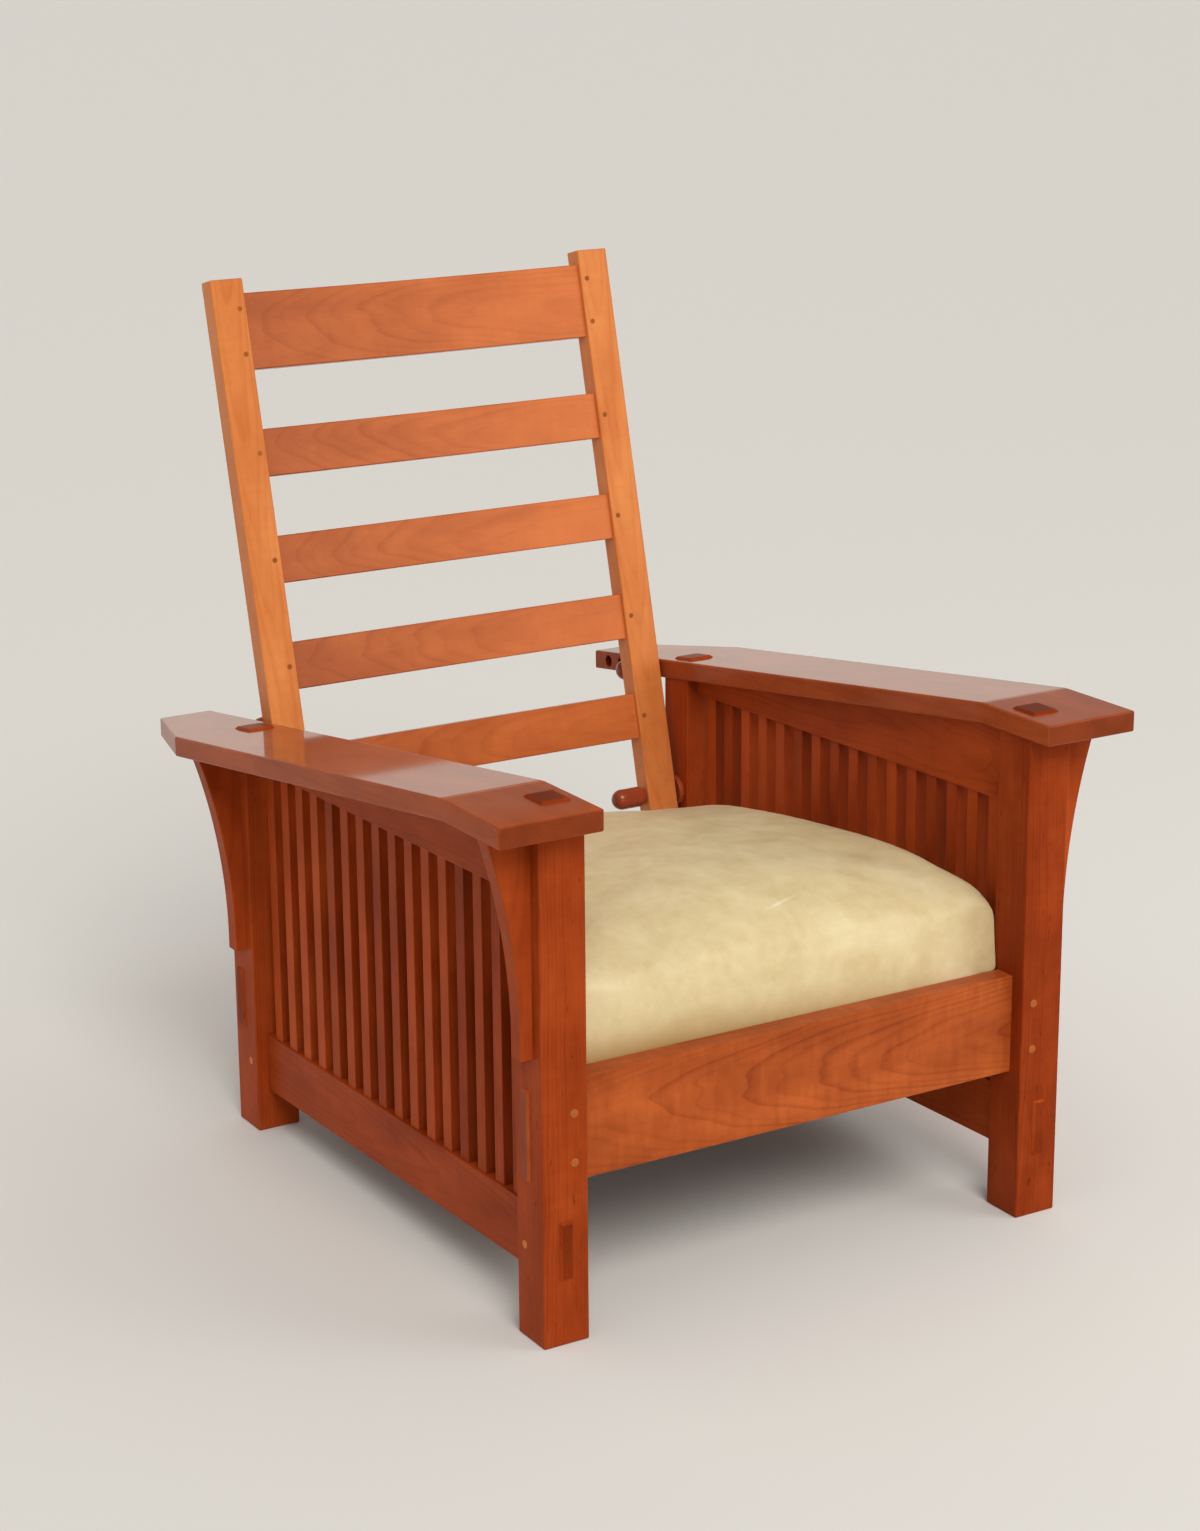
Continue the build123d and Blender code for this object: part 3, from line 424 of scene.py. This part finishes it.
    roughness = add_node(tree, "ShaderNodeMapRange", {"Value": fibre, "To Min": 0.30, "To Max": 0.44})
    tree.links.new(roughness.outputs[0], shader.inputs["Roughness"])
    bump = add_node(tree, "ShaderNodeBump", {"Height": fibre, "Strength": 0.12, "Distance": 0.1 * MM})
    tree.links.new(bump.outputs[0], shader.inputs["Normal"])
    shader.inputs["IOR"].default_value = 1.5
    shader.inputs["Specular IOR Level"].default_value = shine
    shader.inputs["Specular Tint"].default_value = (*linear("#FFC896"), 1.0)
    if edge_polish == 1.0:
        shader.inputs["Coat Weight"].default_value = coat
    else:
        # Faces that don't look up get less coat, so that they mirror less of the pale floor
        facing_up = add_node(tree, "ShaderNodeSeparateXYZ", {0: place.outputs["Normal"]}).outputs[2]
        polish = add_node(tree, "ShaderNodeMapRange", {
            "Value": facing_up, "From Min": 0.1, "From Max": 0.8,
            "To Min": coat * edge_polish, "To Max": coat,
        })
        tree.links.new(polish.outputs[0], shader.inputs["Coat Weight"])
    shader.inputs["Coat Roughness"].default_value = gloss
    shader.inputs["Coat IOR"].default_value = 1.25
    return material


def cowhide_leather(name):
    """Cream cowhide with a worn semi-aniline finish.  It gives the eye a soft cloudy colour, a fine
    pebbled grain, a pale scuff and a broad, silky sheen.  The pebbles are drawn 2.4 mm wide,
    twice the real width, so that they show."""
    cushion = bpy.context.scene.armchair_cushion
    material, tree, shader = new_material(name)
    place = add_node(tree, "ShaderNodeTexCoord").outputs["Object"]
    clouds = add_node(tree, "ShaderNodeTexNoise", {
        "Vector": place, "Scale": 1 / (55 * MM), "Detail": 6.0, "Roughness": 0.6, "Distortion": 0.3,
    })
    speckle = add_node(tree, "ShaderNodeTexNoise", {
        "Vector": place, "Scale": 1 / (14 * MM), "Detail": 4.0, "Roughness": 0.6,
    })
    shade = add_node(tree, "ShaderNodeMath", {0: speckle, 1: 0.35, 2: -0.17}, operation="MULTIPLY_ADD")
    shade = add_node(tree, "ShaderNodeMath", {0: clouds, 1: shade}, operation="ADD")
    colours = add_node(tree, "ShaderNodeValToRGB", {0: shade})
    set_stops(colours, [
        (0.05, tuple(cushion.shade)), (0.5, tuple(cushion.body)), (0.95, tuple(cushion.light)),
    ])
    # Painted shade: the lower front edge is drawn darker toward the left, in place of the shade that it
    # lies in
    front_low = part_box("front_rail")[1].z
    parts = add_node(tree, "ShaderNodeSeparateXYZ", {0: place})
    painted_front_shade = add_node(tree, "ShaderNodeMapRange", {
        "Value": parts.outputs[2], "From Min": front_low - 10 * MM, "From Max": front_low + 45 * MM,
        "To Min": 1.0, "To Max": 0.0,
    }, interpolation_type="SMOOTHSTEP")
    toward_left = add_node(tree, "ShaderNodeMapRange", {
        "Value": parts.outputs[0], "From Min": -150 * MM, "From Max": 240 * MM,
        "To Min": 1.0, "To Max": 0.1,
    })
    painted_front_shade = add_node(tree, "ShaderNodeMath", {0: painted_front_shade, 1: toward_left},
                            operation="MULTIPLY")
    colours = add_node(tree, "ShaderNodeMix", {
        0: painted_front_shade, 6: colours, 7: (*cushion.edge, 1.0),
    }, data_type="RGBA").outputs[2]
    # One pale scuff on the crown
    scuff_place = add_node(tree, "ShaderNodeMapping", {
        "Vector": place,
        "Location": (22 * MM, -358 * MM, 417 * MM),
        "Rotation": (0, 0, math.radians(14)),
        "Scale": (34 * MM, 2.6 * MM, 12 * MM),
    }, vector_type="TEXTURE")
    from_scuff = add_node(tree, "ShaderNodeVectorMath", {0: scuff_place},
                          operation="LENGTH").outputs["Value"]
    scuff = add_node(tree, "ShaderNodeMapRange", {
        "Value": from_scuff, "From Min": 0.3, "From Max": 1.0, "To Min": 0.6, "To Max": 0.0,
    })
    scuff = add_node(tree, "ShaderNodeMath", {0: scuff, 1: speckle}, operation="MULTIPLY")
    worn = add_node(tree, "ShaderNodeMix", {
        0: scuff, 6: colours, 7: (*linear("#F4EAD0"), 1.0),
    }, data_type="RGBA")
    tree.links.new(worn.outputs[2], shader.inputs["Base Color"])
    pebbles = add_node(tree, "ShaderNodeTexVoronoi", {
        "Vector": place, "Scale": 1 / cushion.grain_size, "Randomness": 1.0,
    }, feature="SMOOTH_F1")
    creases = add_node(tree, "ShaderNodeTexNoise", {
        "Vector": place, "Scale": 1 / (6 * MM), "Detail": 5.0, "Roughness": 0.65,
    })
    relief = add_node(tree, "ShaderNodeMath", {0: creases, 1: 0.8, 2: pebbles}, operation="MULTIPLY_ADD")
    bump = add_node(tree, "ShaderNodeBump", {"Height": relief, "Strength": 0.22, "Distance": 0.25 * MM})
    tree.links.new(bump.outputs[0], shader.inputs["Normal"])
    roughness = add_node(tree, "ShaderNodeMapRange", {"Value": clouds, "To Min": 0.36, "To Max": 0.56})
    tree.links.new(roughness.outputs[0], shader.inputs["Roughness"])
    shader.inputs["IOR"].default_value = 1.5
    shader.inputs["Sheen Weight"].default_value = 0.08
    shader.inputs["Sheen Roughness"].default_value = 0.4
    return material


def woven_jute(name, strands):
    """Plain-woven jute webbing.  It gives the eye a basket of dull golden threads.  The threads
    are drawn 3 mm wide, twice the real width, so that they show."""
    thread = 3.0 * MM
    material, tree, shader = new_material(name)
    place = add_node(tree, "ShaderNodeTexCoord").outputs["Object"]
    counted = add_node(tree, "ShaderNodeVectorMath", {0: place, 1: grey(1 / thread)},
                       operation="MULTIPLY")
    checks = add_node(tree, "ShaderNodeTexChecker", {"Vector": counted, "Scale": 1.0})
    fuzz = add_node(tree, "ShaderNodeTexNoise", {"Vector": counted, "Scale": 2.0, "Detail": 3.0})
    colours = add_node(tree, "ShaderNodeValToRGB", {0: fuzz})
    set_stops(colours, [(0.3, linear("#84693F")), (0.7, linear(strands))])
    woven = add_node(tree, "ShaderNodeMix", {
        0: checks.outputs["Fac"], 6: colours, 7: (*linear("#9B7F52"), 1.0),
    }, data_type="RGBA")
    tree.links.new(woven.outputs[2], shader.inputs["Base Color"])
    bump = add_node(tree, "ShaderNodeBump", {
        "Height": checks.outputs["Fac"], "Strength": 0.4, "Distance": 0.4 * MM,
    })
    tree.links.new(bump.outputs[0], shader.inputs["Normal"])
    shader.inputs["Roughness"].default_value = 0.9
    return material


def black_cambric(name):
    """Black spun cloth under the seat.  It gives the eye a dull, slightly fibrous dark face.  The
    fibres are drawn 2.4 mm long, coarser than real, so that they show."""
    material, tree, shader = new_material(name)
    place = add_node(tree, "ShaderNodeTexCoord").outputs["Object"]
    fibres = add_node(tree, "ShaderNodeTexNoise", {
        "Vector": place, "Scale": 1 / (2.4 * MM), "Detail": 4.0,
    })
    colours = add_node(tree, "ShaderNodeValToRGB", {0: fibres})
    set_stops(colours, [(0.3, linear("#141414")), (0.7, linear("#2B2A29"))])
    tree.links.new(colours.outputs[0], shader.inputs["Base Color"])
    bump = add_node(tree, "ShaderNodeBump", {"Height": fibres, "Strength": 0.3, "Distance": 0.2 * MM})
    tree.links.new(bump.outputs[0], shader.inputs["Normal"])
    shader.inputs["Roughness"].default_value = 0.92
    return material


def zinc_plated_steel(name):
    """Zinc-plated steel screws.  They give the eye a cool grey metal with a fine drawn grain."""
    material, tree, shader = new_material(name)
    place = add_node(tree, "ShaderNodeTexCoord").outputs["Object"]
    brush = add_node(tree, "ShaderNodeTexNoise", {
        "Vector": place, "Scale": 1 / (1.1 * MM), "Detail": 2.0,
    })
    colours = add_node(tree, "ShaderNodeValToRGB", {0: brush})
    set_stops(colours, [(0.3, linear("#A9ABAC")), (0.7, linear("#C9CACA"))])
    tree.links.new(colours.outputs[0], shader.inputs["Base Color"])
    shader.inputs["Metallic"].default_value = 1.0
    shader.inputs["Roughness"].default_value = 0.32
    return material


def dress(node, material):
    """Give a CAD node its material."""
    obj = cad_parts[node]
    obj.data.materials.clear()
    obj.data.materials.append(material)


def dress_boards(boards, tone, first_seed, **finish):
    """Give each board its own cherry, so that no two show the same grain."""
    for number, (node, board) in enumerate(boards.items()):
        dress(node, lacquered_cherry(node, tone, board, first_seed + BOARD_STEP * number, **finish))


class ARMCHAIR_OT_legs_and_rails(bpy.types.Operator):
    """Finish the legs, side rails, rear rail and corbels."""

    bl_idname = "armchair.legs_and_rails"
    bl_label = "Legs and rails"

    def execute(self, context):
        legs = {
            f"{end}_leg_{side}": Board(X, Z, RIFT_SAWN, GENTLE_LEAN) for end in ENDS for side in SIDES
        }
        rails = {f"{row}_side_rail_{side}": Board(Z, Y, FLAT_SAWN, GENTLE_LEAN)
                 for row in ("lower", "upper") for side in SIDES}
        rails["rear_rail"] = Board(Z, X, FLAT_SAWN, GENTLE_LEAN)
        corbels = {
            f"{end}_corbel_{side}": Board(X, Z, FLAT_SAWN, GENTLE_LEAN) for end in ENDS for side in SIDES
        }
        dress_boards(legs, "frame", 1.3, flecks=0.5)
        dress_boards(rails, "frame", 21.7)
        dress_boards(corbels, "frame", 47.1)
        return {"FINISHED"}


class ARMCHAIR_OT_front_rail(bpy.types.Operator):
    """Finish the front rail, the board with the liveliest figure."""

    bl_idname = "armchair.front_rail"
    bl_label = "Front rail"

    def execute(self, context):
        board = Board(Z, X, FLAT_SAWN, STRONG_LEAN)
        wood = lacquered_cherry("front_rail", "rail", board, 8.4, shine=0.2, rings=0.2, figure=0.3)
        dress("front_rail", wood)
        return {"FINISHED"}


class ARMCHAIR_OT_arms(bpy.types.Operator):
    """Finish the arms, which have the glossiest lacquer."""

    bl_idname = "armchair.arms"
    bl_label = "Arms"

    def execute(self, context):
        boards = {f"arm_{side}": Board(X, Y, FLAT_SAWN, GENTLE_LEAN) for side in SIDES}
        dress_boards(boards, "arm", 61.9, coat=0.9, gloss=0.07, rings=0.08, edge_polish=0.4)
        return {"FINISHED"}


class ARMCHAIR_OT_spindles(bpy.types.Operator):
    """Finish the spindles, each cut from its own piece of wood."""

    bl_idname = "armchair.spindles"
    bl_label = "Spindles"

    def execute(self, context):
        boards = {f"side_spindles_{side}": Board(Y, Z, RIFT_SAWN, GENTLE_LEAN) for side in SIDES}
        # With row, the spindles' sides toward the gaps also get painted shade
        dress_boards(boards, "frame", 83.3, row=True)
        return {"FINISHED"}


class ARMCHAIR_OT_back(bpy.types.Operator):
    """Finish the posts and slats of the back."""

    bl_idname = "armchair.back"
    bl_label = "Back"

    def execute(self, context):
        posts = {
            f"back_post_{side}": Board(X, UP_THE_BACK, FLAT_SAWN, GENTLE_LEAN) for side in SIDES
        }
        slats = {
            f"back_slat_{number}": Board(UP_THE_BACK, X, FLAT_SAWN, STRONG_LEAN)
            for number in range(1, SLAT_COUNT + 1)
        }
        dress_boards(posts, "post", 101.2, shine=0.4)
        # The slats get a painted sheen, drawn lighter toward their right ends
        dress_boards(slats, "slat", 119.6, shine=0.5, coat=0.3, rings=0.11, fade=0.45)
        return {"FINISHED"}


class ARMCHAIR_OT_pegs(bpy.types.Operator):
    """Finish the turned pegs and the washers, stained darker than the frame."""

    bl_idname = "armchair.pegs"
    bl_label = "Pegs and washers"

    def execute(self, context):
        turned = Board(Y, X, RIFT_SAWN, GENTLE_LEAN)
        pegs = {f"{kind}_peg_{side}": turned for kind in ("hinge", "support") for side in SIDES}
        washers = {f"hinge_washer_{side}": turned for side in SIDES}
        dress_boards(pegs, "peg", 143.8, shine=0.5, coat=1.0, gloss=0.05)
        dress_boards(washers, "peg", 151.4, shine=0.3)
        return {"FINISHED"}


class ARMCHAIR_OT_pins(bpy.types.Operator):
    """Finish the pins through the joints and the plugs over the corbel screws."""

    bl_idname = "armchair.pins"
    bl_label = "Pins and plugs"

    def execute(self, context):
        pins = {
            "frame_pins": Board(X, Y, RIFT_SAWN, GENTLE_LEAN),
            "back_pins": Board(X, BACK_DEPTH, RIFT_SAWN, GENTLE_LEAN),
            "corbel_plugs": Board(Y, X, RIFT_SAWN, GENTLE_LEAN),
        }
        dress_boards(pins, "pin", 163.5)
        return {"FINISHED"}


class ARMCHAIR_OT_seat_frame(bpy.types.Operator):
    """Finish the pale wood under the cushion, the webbing, the dust cover and the screws."""

    bl_idname = "armchair.seat_frame"
    bl_label = "Seat frame"

    def execute(self, context):
        across = Board(ALONG_SEAT, X, FLAT_SAWN, GENTLE_LEAN)
        lengthwise = Board(X, ALONG_SEAT, FLAT_SAWN, GENTLE_LEAN)
        boards = {f"seat_frame_{end}": across for end in ENDS}
        boards.update({f"seat_frame_{side}": lengthwise for side in SIDES})
        boards.update({f"{end}_cleat": across for end in ENDS})
        boards["seat_dowels"] = lengthwise
        dress_boards(boards, "seat", 181.7)
        dress("seat_webbing_long", woven_jute("woven_jute_long", "#BFA06A"))
        dress("seat_webbing_cross", woven_jute("woven_jute_cross", "#B6965F"))
        dress("dust_cover", black_cambric("black_cambric"))
        steel = zinc_plated_steel("zinc_plated_steel")
        for node in ("corbel_screws", "cleat_screws", "seat_screws"):
            dress(node, steel)
        return {"FINISHED"}


SEAT_FROM_WORLD = Matrix((X, ALONG_SEAT, UP_FROM_SEAT))
WORLD_FROM_SEAT = SEAT_FROM_WORLD.transposed()

# The room that the cover keeps to the legs, and may take beyond its plain form
LEG_GAP = 0.7 * MM
END_ROOM = 1 * MM
TOP_ROOM = 6 * MM

# The cover is held on the webbing up to this height above its underside
HELD_HEIGHT = 4 * MM


def ramp(value, start, end):
    """How far a value is on its way from a start to an end, from 0 to 1."""
    return max(0.0, min(1.0, (value - start) / (end - start)))


def cushion_form(inset, shoulder_fill, corner_fill, crown_dip):
    """The cushion's form as a closed mesh, drawn in by an inset except on its flat underside, and
    with its shoulders and front corners filled out."""
    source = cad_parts["seat_cushion"].data
    form = bmesh.new()
    form.from_mesh(source)
    bmesh.ops.remove_doubles(form, verts=form.verts, dist=0.02 * MM)
    bmesh.ops.recalc_face_normals(form, faces=form.faces)
    places = [SEAT_FROM_WORLD @ vert.co for vert in form.verts]
    floor = min(place.z for place in places)
    front = min(place.y for place in places)
    for vert, place in zip(form.verts, places):
        shoulder = ramp(abs(place.x), 190 * MM, 280 * MM) * ramp(place.z - floor, 45 * MM, 85 * MM)
        corner = ramp(abs(place.x), 215 * MM, 265 * MM) * ramp(place.y, front + 75 * MM, front + 35 * MM)
        outward = SEAT_FROM_WORLD @ vert.normal
        moved = outward * (shoulder_fill * shoulder - inset)
        moved += Vector((outward.x, outward.y, 0)) * (corner_fill * corner)
        between = ramp(abs(place.x), 60 * MM, 150 * MM) * ramp(abs(place.x), 285 * MM, 235 * MM)
        moved.z -= crown_dip * between * ramp(place.z - floor, 85 * MM, 125 * MM)
        if place.z < floor + MM:
            moved.z = 0
        vert.co = WORLD_FROM_SEAT @ (place + moved)
    mesh = bpy.data.meshes.new("seat_cushion_cover")
    form.to_mesh(mesh)
    form.free()
    return mesh, floor


def applied_mesh(obj):
    """The object's mesh with its modifiers applied."""
    graph = bpy.context.evaluated_depsgraph_get()
    return bpy.data.meshes.new_from_object(obj.evaluated_get(graph))


def settle_cover(obj, floor, cushion):
    """Let the filling press the cover out, with its underside held on the webbing."""
    start = [vert.co.copy() for vert in obj.data.vertices]
    outward = [vert.normal.copy() for vert in obj.data.vertices]
    held = obj.vertex_groups.new(name="held")
    held.add([
        number for number, place in enumerate(start)
        if (SEAT_FROM_WORLD @ place).z < floor + HELD_HEIGHT
    ], 1.0, "REPLACE")
    cloth = obj.modifiers.new("cover", "CLOTH")
    settings = cloth.settings
    settings.quality = 6
    settings.mass = 0.4
    settings.tension_stiffness = 40
    settings.compression_stiffness = 40
    settings.shear_stiffness = 20
    settings.bending_stiffness = 2
    settings.use_pressure = True
    settings.uniform_pressure_force = cushion.pressure
    settings.effector_weights.gravity = 0
    settings.vertex_group_mass = held.name
    cloth.collision_settings.use_collision = False
    scene = bpy.context.scene
    for number in range(1, cushion.frames + 1):
        scene.frame_set(number)
    settled = applied_mesh(obj)
    scene.frame_set(1)
    obj.modifiers.remove(cloth)
    for vert, place, normal in zip(settled.vertices, start, outward):
        moved = vert.co - place
        sunk = -moved.dot(normal) - cushion.most_sink
        if sunk > 0:
            moved += normal * sunk
        if moved.length > cushion.most_swell:
            moved *= cushion.most_swell / moved.length
        vert.co = place + moved
    obj.data = settled


def keep_in_place(obj, floor):
    """Keep the cover on its webbing and off the legs, the front rail and the back."""
    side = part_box("front_leg_right")[0].x - LEG_GAP
    seat_places = [SEAT_FROM_WORLD @ vert.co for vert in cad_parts["seat_cushion"].data.vertices]
    front = min(place.y for place in seat_places) - END_ROOM
    rear = max(place.y for place in seat_places) + END_ROOM
    top = max(place.z for place in seat_places) + TOP_ROOM
    for vert in obj.data.vertices:
        place = SEAT_FROM_WORLD @ vert.co
        place.x = max(-side, min(side, place.x))
        place.y = max(front, min(rear, place.y))
        place.z = max(floor, min(top, place.z))
        vert.co = WORLD_FROM_SEAT @ place


class ARMCHAIR_OT_cushion(bpy.types.Operator):
    """Make the leather seat cushion."""

    bl_idname = "armchair.cushion"
    bl_label = "Seat cushion"

    def execute(self, context):
        cushion = context.scene.armchair_cushion
        inset = cushion.start_inset
        mesh, floor = cushion_form(inset, cushion.shoulder_fill, cushion.corner_fill, cushion.crown_dip)
        obj = bpy.data.objects.new("leather_cushion", mesh)
        context.scene.collection.objects.link(obj)
        remesh = obj.modifiers.new("even", "REMESH")
        remesh.mode = "VOXEL"
        remesh.voxel_size = cushion.voxel
        even = applied_mesh(obj)
        obj.modifiers.remove(remesh)
        obj.data = even
        settle_cover(obj, floor, cushion)
        keep_in_place(obj, floor)
        smooth = obj.modifiers.new("smooth", "CORRECTIVE_SMOOTH")
        smooth.iterations = 4
        smooth.use_only_smooth = True
        obj.data = applied_mesh(obj)
        obj.modifiers.remove(smooth)
        subdivide = obj.modifiers.new("fine", "SUBSURF")
        subdivide.levels = 1
        subdivide.render_levels = 1
        for polygon in obj.data.polygons:
            polygon.use_smooth = True
        obj.data.materials.append(cowhide_leather("cowhide_leather"))
        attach(obj, "chair_frame")
        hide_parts("seat_cushion")
        return {"FINISHED"}


class ARMCHAIR_OT_stage(bpy.types.Operator):
    """Set up the floor, the light and the camera."""

    bl_idname = "armchair.stage"
    bl_label = "Floor, light and camera"

    def execute(self, context):
        scene = context.scene
        stage = scene.armchair_stage
        scene.view_settings.view_transform = "Standard"

        disc = bmesh.new()
        bmesh.ops.create_circle(disc, cap_ends=True, radius=stage.floor_radius, segments=96)
        mesh = bpy.data.meshes.new("floor")
        disc.to_mesh(mesh)
        disc.free()
        floor = bpy.data.objects.new("floor", mesh)
        scene.collection.objects.link(floor)
        material, tree, shader = new_material("painted_floor")
        shader.inputs["Base Color"].default_value = (*stage.floor_colour, 1.0)
        shader.inputs["Roughness"].default_value = 0.85
        shader.inputs["Specular IOR Level"].default_value = 0.1
        mesh.materials.append(material)

        world = bpy.data.worlds.new("room")
        scene.world = world
        world.use_nodes = True
        tree = world.node_tree
        tree.nodes.clear()
        path = add_node(tree, "ShaderNodeLightPath")
        seen = add_node(tree, "ShaderNodeMath", {
            0: path.outputs["Is Camera Ray"], 1: path.outputs["Is Glossy Ray"],
        }, operation="MAXIMUM")
        seen = add_node(tree, "ShaderNodeMath", {
            0: seen, 1: path.outputs["Is Transmission Ray"],
        }, operation="MAXIMUM")
        lit = add_node(tree, "ShaderNodeBackground", {
            "Color": (1, 1, 1, 1), "Strength": stage.sky_strength,
        })
        place = add_node(tree, "ShaderNodeTexCoord")
        height = add_node(tree, "ShaderNodeSeparateXYZ", {0: place.outputs["Generated"]}).outputs[2]
        walls = add_node(tree, "ShaderNodeMapRange", {
            "Value": height, "From Min": 0.1, "From Max": 0.32, "To Min": 0.95, "To Max": 0.2,
        })
        shown = add_node(tree, "ShaderNodeBackground", {
            "Color": (*linear("#F4EEE2"), 1), "Strength": walls,
        })
        mixed = add_node(tree, "ShaderNodeMixShader", {0: seen, 1: lit, 2: shown})
        add_node(tree, "ShaderNodeOutputWorld", {"Surface": mixed})

        sun = bpy.data.lights.new("key_light", "SUN")
        sun.energy = stage.key_strength
        sun.angle = math.radians(30)
        key = bpy.data.objects.new("key_light", sun)
        scene.collection.objects.link(key)
        key.rotation_euler = (math.radians(46), 0, math.radians(-16))

        panel = bpy.data.lights.new("soft_panel", "AREA")
        panel.shape = "DISK"
        panel.size = stage.panel_size
        panel.energy = stage.panel_power
        soft_panel = bpy.data.objects.new("soft_panel", panel)
        scene.collection.objects.link(soft_panel)
        facing = Vector(stage.panel_place) - Vector((0.2, 0.4, 0.8))
        soft_panel.location = stage.panel_place
        soft_panel.rotation_euler = facing.to_track_quat("Z", "Y").to_euler()
        soft_panel.visible_camera = False

        camera = bpy.data.cameras.new("camera")
        camera.lens = stage.camera_lens
        camera.sensor_width = 36
        camera.clip_end = 200
        viewer = bpy.data.objects.new("camera", camera)
        scene.collection.objects.link(viewer)
        turn = (
            Matrix.Rotation(-stage.camera_heading, 4, "Z")
            @ Matrix.Rotation(math.pi / 2 - stage.camera_dip, 4, "X")
            @ Matrix.Rotation(stage.camera_roll, 4, "Z")
        )
        viewer.matrix_world = Matrix.Translation(stage.camera_place) @ turn
        scene.camera = viewer
        return {"FINISHED"}


STEPS = (
    ARMCHAIR_OT_legs_and_rails,
    ARMCHAIR_OT_front_rail,
    ARMCHAIR_OT_arms,
    ARMCHAIR_OT_spindles,
    ARMCHAIR_OT_back,
    ARMCHAIR_OT_pegs,
    ARMCHAIR_OT_pins,
    ARMCHAIR_OT_seat_frame,
    ARMCHAIR_OT_cushion,
    ARMCHAIR_OT_stage,
)
SETTINGS = {
    "armchair_wood": ArmchairWood,
    "armchair_cushion": ArmchairCushion,
    "armchair_stage": ArmchairStage,
}


class ARMCHAIR_PT_steps(bpy.types.Panel):
    """Lists the steps that dress the armchair."""

    bl_idname = "ARMCHAIR_PT_steps"
    bl_label = "Armchair"
    bl_space_type = "VIEW_3D"
    bl_region_type = "UI"
    bl_category = "Armchair"

    def draw(self, context):
        for name, group in SETTINGS.items():
            column = self.layout.box().column()
            for field in group.__annotations__:
                column.prop(getattr(context.scene, name), field)
        for step in STEPS:
            self.layout.operator(step.bl_idname)


def register():
    for name, group in SETTINGS.items():
        bpy.utils.register_class(group)
        setattr(bpy.types.Scene, name, PointerProperty(type=group))
    for step in (*STEPS, ARMCHAIR_PT_steps):
        bpy.utils.register_class(step)


def unregister():
    for step in reversed((*STEPS, ARMCHAIR_PT_steps)):
        bpy.utils.unregister_class(step)
    for name, group in SETTINGS.items():
        delattr(bpy.types.Scene, name)
        bpy.utils.unregister_class(group)


def main():
    """Register the add-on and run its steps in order."""
    register()
    for step in STEPS:
        area, action = step.bl_idname.split(".")
        getattr(getattr(bpy.ops, area), action)()


if __name__ == "__main__":
    main()
